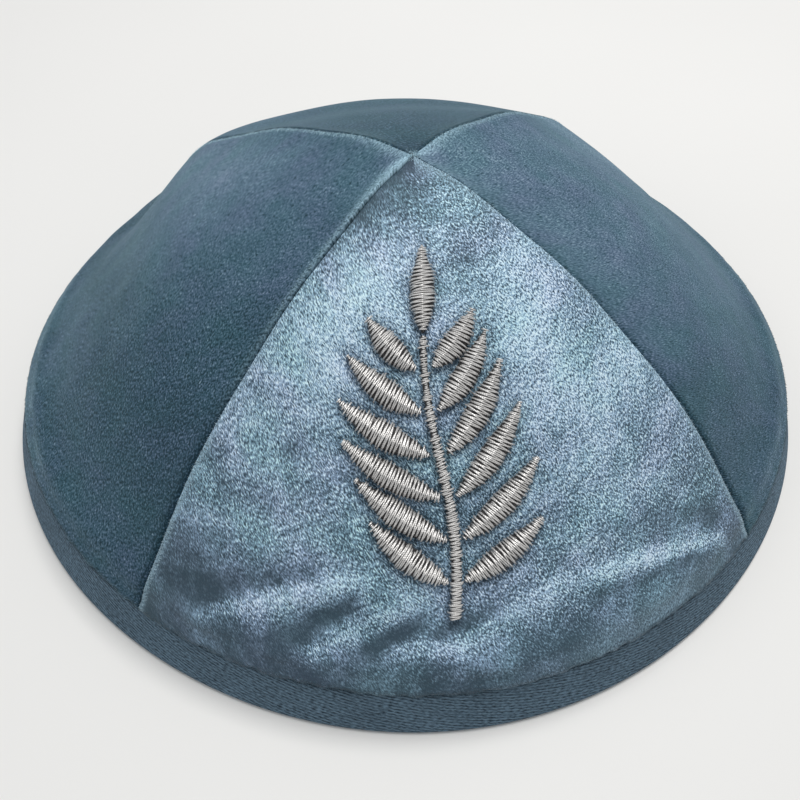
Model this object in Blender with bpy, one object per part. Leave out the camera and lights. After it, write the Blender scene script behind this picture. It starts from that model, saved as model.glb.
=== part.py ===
"""A four-panel velvet skullcap with a twill-bound rim and a satin-stitched leaf sprig in front.

The cap rests on its rim with +Z up and every length is in metres. The origin is the centre of
the rim at floor level, the front panel faces -Y and the right panel faces +X.
"""

import math

import bmesh
import bpy
import numpy as np
from mathutils import Vector

# The rim is a slightly turned oval, measured where the tape's outer face meets the floor. The
# seams pull it in, and it is fuller towards the front, both by a share of its radius.
LONG_AXIS = 0.1830
SHORT_AXIS = 0.1738
OVAL_TURN = math.radians(-4.9)
SEAM_PULL = 0.014
FRONT_FULLNESS = 0.018
CROWN_HEIGHT = 0.0622

# The folded tape that binds the rim, and the cloth that it grips
TAPE_WIDTH = 0.0112
TAPE_LEAN = math.radians(65)
TAPE_THICKNESS = 0.0009
TAPE_INSIDE_SHARE = 0.78
TAPE_CORNER = 0.00035
VELVET_THICKNESS = 0.0024
GRIPPED_THICKNESS = 0.0012
CLEARANCE = 0.0003

# The rolled edges of the velvet along the seams
SEAM_ROLL = 0.0016
SEAM_DROP = 0.0008

# The embroidered sprig, measured over the cloth. Its leaves are set along the stem between two
# shares of the sprig's height, lean out by an angle that falls towards the top, and bend upward.
# A leaf's swell is 1 where it is widest half way along, and less where it is widest nearer its root.
SPRIG_HEIGHT = 0.055
SPRIG_FOOT = 0.0136
SPRIG_SHIFT = -0.0022
STEM_WIDTH = 0.0018
STEM_TAPER = 0.45
STEM_BOW = 0.0012
STEM_END = 0.90
LEAF_PAIRS = 6
LEAF_LENGTH = 0.0200
LEAF_WIDTH = 0.0042
LEAF_BLUNTNESS = 0.06
LEAF_SWELL = 0.85
LOWEST_LEAF = 0.12
HIGHEST_LEAF = 0.80
LONGEST_LEAF_PLACE = 0.35
SHORTEST_LEAF = 0.62
TOP_LEAF = 0.80
LEAF_LEAN = math.radians(64)
LEAF_LEAN_LOSS = math.radians(12)
LEAF_BEND = math.radians(28)
STITCH_EDGE = 0.0004
STITCH_RISE = 0.0007

# How finely the solids are cut
FRONT_COLUMNS = 24
SIDE_COLUMNS = 16
FRONT_ROWS = 20
SIDE_ROWS = 16
ROW_CROWDING = 1.35
TAPE_SEGMENTS = 72
LEAF_ROWS = 6
LEAF_COLUMNS = 4
STEM_ROWS = 14
STEM_COLUMNS = 2
CLOTH_SAMPLES = 120
LINE_STEP = 0.01
SMOOTH_ANGLE = math.radians(40)

RIM_RADIUS = (LONG_AXIS + SHORT_AXIS) / 4
OVAL_SHARE = (LONG_AXIS - SHORT_AXIS) / (LONG_AXIS + SHORT_AXIS)
TAPE_TOP_RADIUS = RIM_RADIUS - TAPE_WIDTH * math.cos(TAPE_LEAN)
TAPE_TOP_HEIGHT = TAPE_WIDTH * math.sin(TAPE_LEAN)
TAPE_COVER = TAPE_THICKNESS + CLEARANCE
MERGE_DISTANCE = CLEARANCE / 30
# Within this radius the wall's depth turns from square to the slope to straight down.
APEX_FADE = 4 * VELVET_THICKNESS
QUARTER = math.pi / 2
HALF_PANEL = QUARTER / 2

# The crown's profiles: reach is a share of the tape's top radius, and each height is a share
# of the rise from the tape's top edge to the apex.
PROFILES = (
    # reach, seam, front, side, back
    (0.000, 1.000, 1.000, 1.000, 1.000),
    (0.126, 0.988, 0.948, 0.948, 0.943),
    (0.262, 0.921, 0.870, 0.870, 0.863),
    (0.420, 0.828, 0.748, 0.753, 0.745),
    (0.577, 0.679, 0.581, 0.598, 0.605),
    (0.735, 0.502, 0.370, 0.390, 0.476),
    (0.860, 0.300, 0.195, 0.205, 0.280),
    (0.944, 0.145, 0.092, 0.096, 0.140),
    (0.985, 0.055, 0.042, 0.042, 0.055),
    (1.000, 0.000, 0.000, 0.000, 0.000),
)
SEAM_COLUMN, FRONT_COLUMN, SIDE_COLUMN, BACK_COLUMN = 1, 2, 3, 4

# The panels: the way that each one faces, its column of PROFILES, its cells and its finish
PANELS = (
    # name, facing, profile, columns, rows, finish
    ("front_panel", -QUARTER, FRONT_COLUMN, FRONT_COLUMNS, FRONT_ROWS, "velvet_front"),
    ("right_panel", 0.0, SIDE_COLUMN, SIDE_COLUMNS, SIDE_ROWS, "velvet_crown"),
    ("back_panel", QUARTER, BACK_COLUMN, SIDE_COLUMNS, SIDE_ROWS, "velvet_crown"),
    ("left_panel", math.pi, SIDE_COLUMN, SIDE_COLUMNS, SIDE_ROWS, "velvet_crown"),
)

# How a panel slips over the tape's top edge and down into its fold. Above is how far its outer face
# stands over the edge, in clearances, inward is a share of the tape's cover, and inside is how high
# its inner face is, as a share of that face's height at the edge.
RIM_STEPS = (
    # above, inward, inside
    (1.5, 0.125, 1.00),
    (1.2, 0.600, 0.95),
    (0.0, 1.000, 0.88),
)

# Soft dents and folds. A place is a bearing in degrees and a share of the way to the tape's
# top edge, lengths are shares of the rim radius, and a rise below nothing is a dent.
FOLDS = (
    # bearing, reach, turn, length, width, rise
    (130.0, 0.72, 40.0, 0.17, 0.120, 0.016),
    (144.0, 0.89, 60.0, 0.14, 0.070, -0.026),
    (160.0, 0.80, 90.0, 0.32, 0.100, -0.012),
    (37.0, 0.71, 127.0, 0.16, 0.110, 0.010),
    (-117.0, 0.836, 0.0, 0.13, 0.022, -0.004),
    (-116.0, 0.868, -2.0, 0.17, 0.027, 0.007),
    (-111.0, 0.872, 11.0, 0.11, 0.024, -0.006),
    (-105.0, 0.873, 12.0, 0.10, 0.024, 0.006),
    (-100.0, 0.881, 9.0, 0.08, 0.022, -0.005),
    (-95.0, 0.905, -4.0, 0.09, 0.022, 0.005),
    (-72.0, 0.863, 16.0, 0.26, 0.030, 0.007),
    (-65.0, 0.848, 12.0, 0.14, 0.022, -0.005),
    (-68.0, 0.800, 8.0, 0.14, 0.024, 0.004),
)

# Colour, roughness and metallic value of each finish
FINISHES = {
    "velvet_front": ((0.25, 0.42, 0.52, 1.0), 0.55, 0.0),
    "velvet_crown": ((0.07, 0.15, 0.22, 1.0), 0.75, 0.0),
    "twill_tape": ((0.08, 0.17, 0.26, 1.0), 0.80, 0.0),
    "silver_thread": ((0.55, 0.54, 0.53, 1.0), 0.35, 0.6),
}


def curve_through(knots, values):
    """The smooth curve through the values, with no bend at its two ends, as a function."""
    knots = np.array(knots)
    values = np.array(values)
    spans = np.diff(knots)
    slopes = np.diff(values) / spans
    balance = np.eye(len(knots))
    pull = np.zeros(len(knots))
    for row in range(1, len(knots) - 1):
        before = spans[row - 1]
        after = spans[row]
        balance[row, row - 1 : row + 2] = before, 2 * (before + after), after
        pull[row] = 6 * (slopes[row] - slopes[row - 1])
    bends = np.linalg.solve(balance, pull)

    def value_at(place):
        row = int(np.clip(np.searchsorted(knots, place) - 1, 0, len(spans) - 1))
        span = spans[row]
        ahead = (place - knots[row]) / span
        behind = 1 - ahead
        straight = values[row] * behind + values[row + 1] * ahead
        curl = (behind**3 - behind) * bends[row] + (ahead**3 - ahead) * bends[row + 1]
        return straight + curl * span**2 / 6

    return value_at


PROFILE_CURVES = [curve_through([row[0] for row in PROFILES], [row[column] for row in PROFILES])
                  for column in range(len(PROFILES[0]))]


def oval(bearing):
    """How far the rim reaches at a bearing, as a share of its mean radius."""
    pull = SEAM_PULL * math.sin(2 * bearing) ** 2
    fuller = FRONT_FULLNESS * math.sin(bearing) * math.cos(bearing) ** 2
    return 1 + OVAL_SHARE * math.cos(2 * (bearing - OVAL_TURN)) - pull - fuller


def panel_at(bearing):
    """The profile column of the panel at a bearing, and the angle from that panel's centre."""
    for _, facing, column, _, _, _ in PANELS:
        away = (bearing - facing + math.pi) % (2 * math.pi) - math.pi
        if abs(away) <= HALF_PANEL:
            return column, away
    return SEAM_COLUMN, HALF_PANEL


def panel_fullness(away):
    """1 at a panel's centre and 0 at its seams, as cloth pulled straight from seam to seam."""
    return (1 - math.cos(HALF_PANEL) / math.cos(away)) / (1 - math.cos(HALF_PANEL))


def fold_rise(x, y):
    """What the dents and folds add to the crown's height over a point of the plan."""
    rise = 0.0
    for bearing, reach, turn, length, width, height in FOLDS:
        facing = math.radians(bearing)
        radius = reach * TAPE_TOP_RADIUS
        lean = math.radians(turn)
        east = x - radius * math.cos(facing)
        north = y - radius * math.sin(facing)
        along = (east * math.cos(lean) + north * math.sin(lean)) / (length * RIM_RADIUS)
        across = (north * math.cos(lean) - east * math.sin(lean)) / (width * RIM_RADIUS)
        rise += height * RIM_RADIUS * math.exp(-(along**2 + across**2))
    return rise


def crown_height(radius, bearing):
    """The height of the crown's outer face over a point of the plan."""
    reach = min(radius / (TAPE_TOP_RADIUS * oval(bearing)), 1.0)
    column, away = panel_at(bearing)
    seam = PROFILE_CURVES[SEAM_COLUMN](reach)
    share = seam + (PROFILE_CURVES[column](reach) - seam) * panel_fullness(away)
    height = TAPE_TOP_HEIGHT + share * (CROWN_HEIGHT - TAPE_TOP_HEIGHT)
    calm = min((1 - reach) * TAPE_TOP_RADIUS / TAPE_WIDTH, 1.0)
    return height + calm * fold_rise(radius * math.cos(bearing), radius * math.sin(bearing))


def crown_point(radius, bearing, depth):
    """A point inside the crown's outer face, square to the slope that runs down from the apex."""
    step = CLEARANCE
    fall = crown_height(radius, bearing) - crown_height(radius + step, bearing)
    out = fall / math.hypot(fall, step) * min(radius / APEX_FADE, 1.0)
    up = math.sqrt(1 - out**2)
    inner_radius = radius - depth * out
    return inner_radius, crown_height(radius, bearing) - depth * up


def rim_point(up, inward):
    """A radius and a height on the rim, from lengths up the tape's face and in from it."""
    radius = RIM_RADIUS - up * math.cos(TAPE_LEAN) - inward * math.sin(TAPE_LEAN)
    return radius, up * math.sin(TAPE_LEAN) - inward * math.cos(TAPE_LEAN)


def rim_radius_at(height, inward):
    """The radius on the rim at a height, so far in from the tape's outer face."""
    return RIM_RADIUS - height / math.tan(TAPE_LEAN) - inward / math.sin(TAPE_LEAN)


def rim_rows():
    """Pairs of outer and inner points that take a panel from its crown down into the tape."""
    inner_face = TAPE_COVER + GRIPPED_THICKNESS
    inside_top = TAPE_WIDTH - inner_face / math.tan(TAPE_LEAN)
    rows = []
    for above, inward, inside in RIM_STEPS:
        outer = rim_point(TAPE_WIDTH + above * CLEARANCE, inward * TAPE_COVER)
        rows.append((outer, rim_point(inside * inside_top, inner_face)))
    hem = TAPE_COVER
    rows.append(((rim_radius_at(hem, TAPE_COVER), hem), (rim_radius_at(hem, inner_face), hem)))
    return rows


def half_angle(radius):
    """Half of a panel's angle at a radius, short of the seam by half of the clearance."""
    return HALF_PANEL - math.asin(min(CLEARANCE / 2 / radius, math.sin(HALF_PANEL)))


def seam_drop(radius, across):
    """How far the velvet rolls down towards a seam, where across runs from -1 to 1."""
    half_width = radius * half_angle(radius)
    roll = min(SEAM_ROLL, half_width / 2)
    if roll <= 0:
        return 0.0
    near = min(max(1 - half_width * (1 - abs(across)) / roll, 0.0), 1.0)
    return SEAM_DROP * roll / SEAM_ROLL * (1 - math.sqrt(1 - near**2))


def panel_point(facing, across, row, rows, inside):
    """One corner of a panel's slab, by its place across, its row down and its face."""
    tip = CLEARANCE / 2 / math.sin(HALF_PANEL)
    foot = TAPE_TOP_RADIUS - SEAM_ROLL
    if row <= rows:
        radius = foot - (foot - tip) * (1 - row / rows) ** ROW_CROWDING
        bearing = facing + across * half_angle(radius)
        depth = VELVET_THICKNESS if inside else seam_drop(radius, across)
        radius, height = crown_point(radius * oval(bearing), bearing, depth)
        bearing = facing + across * half_angle(max(radius, tip))
        return radius * math.cos(bearing), radius * math.sin(bearing), height
    radius, height = rim_rows()[row - rows - 1][inside]
    bearing = facing + across * half_angle(radius)
    radius *= oval(bearing)
    return radius * math.cos(bearing), radius * math.sin(bearing), height


def slab(columns, rows):
    """A flat closed slab of square cells: x and y count its cells, and z is 0 or 1."""
    mesh = bmesh.new()
    bmesh.ops.create_grid(mesh, x_segments=columns, y_segments=rows, size=0.5)
    bmesh.ops.translate(mesh, vec=(0.5, 0.5, 0.0), verts=mesh.verts)
    bmesh.ops.scale(mesh, vec=(columns, rows, 1.0), verts=mesh.verts)
    raised = bmesh.ops.extrude_face_region(mesh, geom=mesh.faces[:])
    corners = [item for item in raised["geom"] if isinstance(item, bmesh.types.BMVert)]
    bmesh.ops.translate(mesh, vec=(0.0, 0.0, 1.0), verts=corners)
    return mesh


def add_object(name, mesh, finish):
    """A smooth-shaded object from a closed bmesh, with its faces pointing out."""
    bmesh.ops.remove_doubles(mesh, verts=mesh.verts, dist=MERGE_DISTANCE)
    bmesh.ops.recalc_face_normals(mesh, faces=mesh.faces)
    data = bpy.data.meshes.new(name)
    mesh.to_mesh(data)
    mesh.free()
    data.shade_smooth()
    data.set_sharp_from_angle(angle=SMOOTH_ANGLE)
    data.materials.append(bpy.data.materials[finish])
    made = bpy.data.objects.new(name, data)
    bpy.context.scene.collection.objects.link(made)
    return made


def add_panel(name, facing, columns, rows, finish):
    mesh = slab(columns, rows + len(rim_rows()))
    for corner in mesh.verts:
        across = math.sin((2 * corner.co.x / columns - 1) * QUARTER)
        row = round(corner.co.y)
        corner.co = panel_point(facing, across, row, rows, round(corner.co.z))
    add_object(name, mesh, finish)


def tape_section():
    """The folded tape's outline: up inside the outer leg, round the hem and up the inner leg."""
    inner_face = TAPE_COVER + GRIPPED_THICKNESS + CLEARANCE
    back = inner_face + TAPE_THICKNESS
    inside_top = TAPE_TOP_HEIGHT * TAPE_INSIDE_SHARE
    corner = TAPE_CORNER
    rows = (
        # inward, height
        (0.0, TAPE_TOP_HEIGHT - corner),
        (corner, TAPE_TOP_HEIGHT),
        (TAPE_THICKNESS - corner, TAPE_TOP_HEIGHT),
        (TAPE_THICKNESS, TAPE_TOP_HEIGHT - corner),
        (TAPE_THICKNESS, TAPE_THICKNESS),
        (inner_face, TAPE_THICKNESS),
        (inner_face, inside_top - corner),
        (inner_face + corner, inside_top),
        (back - corner, inside_top),
        (back, inside_top - corner),
        (back, TAPE_THICKNESS),
        (back - corner / 2, corner / 2),
        (back - TAPE_THICKNESS, 0.0),
        (TAPE_THICKNESS, 0.0),
        (corner, corner / 2),
        (0.0, TAPE_THICKNESS),
    )
    return [(rim_radius_at(height, inward), height) for inward, height in rows]


def add_tape():
    mesh = bmesh.new()
    corners = [mesh.verts.new((radius, 0.0, height)) for radius, height in tape_section()]
    edges = [mesh.edges.new((corner, corners[place - 1])) for place, corner in enumerate(corners)]
    bmesh.ops.spin(mesh, geom=corners + edges, cent=(0, 0, 0), axis=(0, 0, 1), angle=2 * math.pi,
                   steps=TAPE_SEGMENTS, use_merge=True)
    for corner in mesh.verts:
        reach = oval(math.atan2(corner.co.y, corner.co.x))
        corner.co.x *= reach
        corner.co.y *= reach
    add_object("rim_tape", mesh, "twill_tape")


def front_reaches():
    """Lengths up the front panel's centre from the tape, and the plan radius at each."""
    radii = np.linspace(TAPE_TOP_RADIUS * oval(-QUARTER), 0.0, CLOTH_SAMPLES)
    heights = [crown_height(radius, -QUARTER) for radius in radii]
    steps = np.hypot(np.diff(radii), np.diff(heights))
    return np.concatenate(([0.0], np.cumsum(steps))), radii


FRONT_LENGTHS, FRONT_RADII = front_reaches()


def front_height(x, y):
    return crown_height(math.hypot(x, y), math.atan2(y, x))


def on_front(across, up, rise):
    """A point over the front panel: across and up are lengths on the cloth, rise is off it."""
    x = across
    y = -float(np.interp(up, FRONT_LENGTHS, FRONT_RADII))
    step = CLEARANCE
    slope_x = (front_height(x + step, y) - front_height(x - step, y)) / (2 * step)
    slope_y = (front_height(x, y + step) - front_height(x, y - step)) / (2 * step)
    normal = Vector((-slope_x, -slope_y, 1)).normalized()
    return Vector((x, y, front_height(x, y))) + rise * normal


def stem_point(share):
    """A place on the stem's line, as lengths across and up, from its foot 0 to its top 1."""
    across = SPRIG_SHIFT + STEM_BOW * math.sin(2 * math.pi * share)
    return Vector((across, SPRIG_FOOT + share * SPRIG_HEIGHT))


def stem_lean(share):
    """The angle between the stem and the panel's centre line."""
    run = stem_point(share + LINE_STEP) - stem_point(share - LINE_STEP)
    return math.atan2(run.x, run.y)


def leaf_fullness(share):
    """A leaf's width at a share of its length, pointed at both ends, as a share of the widest."""
    return LEAF_BLUNTNESS + (1 - LEAF_BLUNTNESS) * math.sin(math.pi * share**LEAF_SWELL)


def stem_fullness(share):
    """The stem's width at a share of its length, as a share of its foot's."""
    return 1 - STEM_TAPER * share


def add_pad(name, columns, rows, centre_line, width, fullness):
    """A raised pad of satin stitch along a line that gives a place and a heading for each share."""
    mesh = slab(columns, rows)
    for corner in mesh.verts:
        side = 2 * corner.co.x / columns - 1
        share = corner.co.y / rows
        place, heading = centre_line(share)
        sideways = Vector((math.cos(heading), -math.sin(heading)))
        spot = place + side * width / 2 * fullness(share) * sideways
        crown = math.sqrt(1 - side**2) * fullness(share)
        rise = CLEARANCE + corner.co.z * (STITCH_EDGE + STITCH_RISE * crown)
        corner.co = on_front(spot.x, spot.y, rise)
    add_object(name, mesh, "silver_thread")


def add_leaf(name, start, first, last, length):
    """A leaf whose heading turns evenly from its root to its tip."""

    def centre_line(share):
        heading = first + (last - first) * share
        mean = (first + heading) / 2
        return start + share * length * Vector((math.sin(mean), math.cos(mean))), heading

    add_pad(name, LEAF_COLUMNS, LEAF_ROWS, centre_line, LEAF_WIDTH, leaf_fullness)


def add_leaf_pair(pair):
    """Two leaves that leave the stem side by side."""
    place = pair / (LEAF_PAIRS - 1)
    root = LOWEST_LEAF + (HIGHEST_LEAF - LOWEST_LEAF) * place
    shortening = (place - LONGEST_LEAF_PLACE) / (1 - LONGEST_LEAF_PLACE)
    length = LEAF_LENGTH * (1 - (1 - SHORTEST_LEAF) * shortening**2)
    lean = LEAF_LEAN - LEAF_LEAN_LOSS * place
    for side, word in ((-1, "left"), (1, "right")):
        start = stem_point(root) + Vector((side * (STEM_WIDTH / 2 + 2 * CLEARANCE), 0))
        first = stem_lean(root) + side * lean
        add_leaf(f"embroidery_leaf_{word}_{pair + 1}", start, first, first - side * LEAF_BEND, length)


def add_sprig():
    def stem_line(share):
        return stem_point(STEM_END * share), stem_lean(STEM_END * share)

    add_pad("embroidery_stem", STEM_COLUMNS, STEM_ROWS, stem_line, STEM_WIDTH, stem_fullness)
    for pair in range(LEAF_PAIRS):
        add_leaf_pair(pair)
    heading = stem_lean(STEM_END)
    start = stem_point(STEM_END) + 2 * CLEARANCE * Vector((math.sin(heading), math.cos(heading)))
    add_leaf("embroidery_leaf_top", start, heading, heading, TOP_LEAF * LEAF_LENGTH)


def add_finishes():
    for name, (colour, roughness, metallic) in FINISHES.items():
        finish = bpy.data.materials.new(name)
        finish.use_nodes = True
        shader = finish.node_tree.nodes["Principled BSDF"]
        shader.inputs["Base Color"].default_value = colour
        shader.inputs["Roughness"].default_value = roughness
        shader.inputs["Metallic"].default_value = metallic


def main():
    for existing in list(bpy.data.objects):
        bpy.data.objects.remove(existing)
    add_finishes()
    for name, facing, _, columns, rows, finish in PANELS:
        add_panel(name, facing, columns, rows, finish)
    add_tape()
    add_sprig()


main()
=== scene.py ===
# %% [markdown]
# # Dressing a velvet skullcap
# The real cap is four gores of short-pile velvet, sewn together and bound at the rim with a
# folded twill tape, with a sprig of satin stitch on the front gore. The solids that this script
# loads already have the right form and size, but they are cut coarsely and have no pile, thread
# or twill. We keep them as the frame and lay finer pieces over them.

import math

import bmesh
import bpy
import numpy as np
from mathutils import Matrix, Vector


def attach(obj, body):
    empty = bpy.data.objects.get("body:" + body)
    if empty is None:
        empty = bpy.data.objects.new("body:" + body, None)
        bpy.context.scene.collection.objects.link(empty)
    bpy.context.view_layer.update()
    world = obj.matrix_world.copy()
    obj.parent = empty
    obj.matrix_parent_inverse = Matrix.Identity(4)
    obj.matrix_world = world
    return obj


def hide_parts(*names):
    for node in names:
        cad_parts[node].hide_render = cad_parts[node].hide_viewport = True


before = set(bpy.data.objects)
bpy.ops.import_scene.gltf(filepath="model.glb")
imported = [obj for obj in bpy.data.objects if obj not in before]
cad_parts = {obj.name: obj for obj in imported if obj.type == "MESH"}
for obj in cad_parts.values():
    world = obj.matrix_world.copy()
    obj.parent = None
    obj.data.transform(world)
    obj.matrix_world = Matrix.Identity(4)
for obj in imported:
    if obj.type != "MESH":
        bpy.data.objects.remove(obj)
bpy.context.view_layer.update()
scene = bpy.context.scene
print("nodes in the frame:", len(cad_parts))

# %% [markdown]
# ## The camera
# A camera could be placed by eye and nudged until the picture looks right. Here its place, pitch,
# yaw, roll and lens were worked out from the outline and the seams of the real cap, so they are
# written as plain angles and one distance from the middle of the rim.

# %% Place the camera
CAMERA_DISTANCE = 0.1978
CAMERA_BEARING = math.radians(-99.34)
CAMERA_ELEVATION = math.radians(50.88)
CAMERA_PITCH = math.radians(53.28)
CAMERA_YAW = math.radians(0.75)
CAMERA_ROLL = math.radians(0.94)
SENSOR_WIDTH = 36.0
LENS = 35.96


def heading(bearing, elevation):
    """A unit vector from a bearing round Z and an elevation over the floor."""
    level = math.cos(elevation)
    return Vector((level * math.cos(bearing), level * math.sin(bearing), math.sin(elevation)))


def add_camera():
    """The camera at its place, turned by its pitch and yaw and then rolled."""
    ahead = heading(CAMERA_BEARING + math.pi + CAMERA_YAW, -CAMERA_PITCH)
    right = ahead.cross(Vector((0, 0, 1))).normalized()
    up = right.cross(ahead)
    tilted_right = right * math.cos(CAMERA_ROLL) + up * math.sin(CAMERA_ROLL)
    tilted_up = up * math.cos(CAMERA_ROLL) - right * math.sin(CAMERA_ROLL)
    camera = bpy.data.objects.new("camera", bpy.data.cameras.new("camera"))
    camera.data.sensor_width = SENSOR_WIDTH
    camera.data.lens = LENS
    camera.data.clip_start = CAMERA_DISTANCE / 100
    scene.collection.objects.link(camera)
    axes = Matrix((tilted_right, tilted_up, -ahead)).transposed()
    place = CAMERA_DISTANCE * heading(CAMERA_BEARING, CAMERA_ELEVATION)
    camera.matrix_world = Matrix.Translation(place) @ axes.to_4x4()
    scene.camera = camera
    return camera


camera = add_camera()
scene.view_settings.view_transform = "Standard"
print("camera at", [round(value, 4) for value in camera.matrix_world.translation])

# %% [markdown]
# ## The sizes of the cap
# The frame's solids follow a rule: the rim is a slightly turned oval, and the crown's height at
# any point of the plan comes from a few profiles. We repeat the same driving sizes here, so that
# the fine pieces lie exactly where the coarse solids are.

# %% Driving sizes
LONG_AXIS = 0.1830
SHORT_AXIS = 0.1738
OVAL_TURN = math.radians(-4.9)
SEAM_PULL = 0.014
FRONT_FULLNESS = 0.018
CROWN_HEIGHT = 0.0622
TAPE_WIDTH = 0.0112
TAPE_LEAN = math.radians(65)
TAPE_THICKNESS = 0.0009
TAPE_INSIDE_SHARE = 0.78
VELVET_THICKNESS = 0.0024
GRIPPED_THICKNESS = 0.0012
CLEARANCE = 0.0003
SEAM_ROLL = 0.0016
ROW_CROWDING = 1.35

RIM_RADIUS = (LONG_AXIS + SHORT_AXIS) / 4
OVAL_SHARE = (LONG_AXIS - SHORT_AXIS) / (LONG_AXIS + SHORT_AXIS)
TAPE_TOP_RADIUS = RIM_RADIUS - TAPE_WIDTH * math.cos(TAPE_LEAN)
TAPE_TOP_HEIGHT = TAPE_WIDTH * math.sin(TAPE_LEAN)
TAPE_COVER = TAPE_THICKNESS + CLEARANCE
APEX_FADE = 4 * VELVET_THICKNESS
QUARTER = math.pi / 2
HALF_PANEL = QUARTER / 2
print("mean rim radius:", RIM_RADIUS)

# %% The crown's profiles and folds
PROFILES = (
    # reach, seam, front, side, back
    (0.000, 1.000, 1.000, 1.000, 1.000),
    (0.126, 0.988, 0.948, 0.948, 0.943),
    (0.262, 0.921, 0.870, 0.870, 0.863),
    (0.420, 0.828, 0.748, 0.753, 0.745),
    (0.577, 0.679, 0.581, 0.598, 0.605),
    (0.735, 0.502, 0.370, 0.390, 0.476),
    (0.860, 0.300, 0.195, 0.205, 0.280),
    (0.944, 0.145, 0.092, 0.096, 0.140),
    (0.985, 0.055, 0.042, 0.042, 0.055),
    (1.000, 0.000, 0.000, 0.000, 0.000),
)
FOLDS = (
    # bearing, reach, turn, length, width, rise
    (130.0, 0.72, 40.0, 0.17, 0.120, 0.016),
    (144.0, 0.89, 60.0, 0.14, 0.070, -0.026),
    (160.0, 0.80, 90.0, 0.32, 0.100, -0.012),
    (37.0, 0.71, 127.0, 0.16, 0.110, 0.010),
    (-117.0, 0.836, 0.0, 0.13, 0.022, -0.004),
    (-116.0, 0.868, -2.0, 0.17, 0.027, 0.007),
    (-111.0, 0.872, 11.0, 0.11, 0.024, -0.006),
    (-105.0, 0.873, 12.0, 0.10, 0.024, 0.006),
    (-100.0, 0.881, 9.0, 0.08, 0.022, -0.005),
    (-95.0, 0.905, -4.0, 0.09, 0.022, 0.005),
    (-72.0, 0.863, 16.0, 0.26, 0.030, 0.007),
    (-65.0, 0.848, 12.0, 0.14, 0.022, -0.005),
    (-68.0, 0.800, 8.0, 0.14, 0.024, 0.004),
)


def curve_through(knots, values):
    """The smooth curve through the values, with no bend at its two ends, as a function."""
    knots = np.array(knots)
    values = np.array(values)
    spans = np.diff(knots)
    slopes = np.diff(values) / spans
    balance = np.eye(len(knots))
    pull = np.zeros(len(knots))
    for row in range(1, len(knots) - 1):
        before = spans[row - 1]
        after = spans[row]
        balance[row, row - 1 : row + 2] = before, 2 * (before + after), after
        pull[row] = 6 * (slopes[row] - slopes[row - 1])
    bends = np.linalg.solve(balance, pull)

    def value_at(place):
        row = np.clip(np.searchsorted(knots, place) - 1, 0, len(spans) - 1)
        span = spans[row]
        ahead = (place - knots[row]) / span
        behind = 1 - ahead
        straight = values[row] * behind + values[row + 1] * ahead
        curl = (behind**3 - behind) * bends[row] + (ahead**3 - ahead) * bends[row + 1]
        return straight + curl * span**2 / 6

    return value_at


_, SEAM_CURVE, FRONT_CURVE, SIDE_CURVE, BACK_CURVE = [
    curve_through([row[0] for row in PROFILES], [row[column] for row in PROFILES])
    for column in range(len(PROFILES[0]))
]
print("profiles:", len(PROFILES), "rows, folds:", len(FOLDS))

# %% [markdown]
# ## A point on the crown
# The solids worked out one point at a time. A fine mesh has tens of thousands, so these functions
# take whole arrays of them. Each panel swells between its seams, and the soft folds are rounded
# hills and hollows added to the height.


# %% The crown as functions of its plan
def oval(bearing):
    """How far the rim reaches at a bearing, as a share of its mean radius."""
    pull = SEAM_PULL * np.sin(2 * bearing) ** 2
    fuller = FRONT_FULLNESS * np.sin(bearing) * np.cos(bearing) ** 2
    return 1 + OVAL_SHARE * np.cos(2 * (bearing - OVAL_TURN)) - pull - fuller


def bump_at(x, y, bearing, reach, turn, length, width):
    """A soft hill over the plan, 1 at its top, placed and sized as the folds are."""
    facing = math.radians(bearing)
    lean = math.radians(turn)
    east = x - reach * TAPE_TOP_RADIUS * math.cos(facing)
    north = y - reach * TAPE_TOP_RADIUS * math.sin(facing)
    along = (east * math.cos(lean) + north * math.sin(lean)) / (length * RIM_RADIUS)
    across = (north * math.cos(lean) - east * math.sin(lean)) / (width * RIM_RADIUS)
    return np.exp(-(along**2 + across**2))


def crown_height(radius, bearing):
    """The height of the crown's outer face over points of the plan."""
    reach = np.minimum(radius / (TAPE_TOP_RADIUS * oval(bearing)), 1.0)
    facing = np.round(bearing / QUARTER) * QUARTER
    away = bearing - facing
    seam = SEAM_CURVE(reach)
    sides = [np.sin(facing) < -0.5, np.sin(facing) > 0.5]
    middle = np.select(sides, [FRONT_CURVE(reach), BACK_CURVE(reach)], SIDE_CURVE(reach))
    fullness = (1 - math.cos(HALF_PANEL) / np.cos(away)) / (1 - math.cos(HALF_PANEL))
    share = seam + (middle - seam) * fullness
    x = radius * np.cos(bearing)
    y = radius * np.sin(bearing)
    rise = sum(fold[-1] * RIM_RADIUS * bump_at(x, y, *fold[:-1]) for fold in FOLDS)
    calm = np.minimum((1 - reach) * TAPE_TOP_RADIUS / TAPE_WIDTH, 1.0)
    return TAPE_TOP_HEIGHT + share * (CROWN_HEIGHT - TAPE_TOP_HEIGHT) + calm * rise


def crown_point(radius, bearing, depth):
    """Radius and height of points inside the outer face, square to the slope from the apex."""
    fall = crown_height(radius, bearing) - crown_height(radius + CLEARANCE, bearing)
    out = fall / np.hypot(fall, CLEARANCE) * np.minimum(radius / APEX_FADE, 1.0)
    up = np.sqrt(1 - out**2)
    return radius - depth * out, crown_height(radius, bearing) - depth * up


def half_angle(radius):
    """Half of a panel's angle at a radius, short of the seam by half of the clearance."""
    gap = np.minimum(CLEARANCE / 2 / radius, math.sin(HALF_PANEL))
    return HALF_PANEL - np.arcsin(gap)


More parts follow.
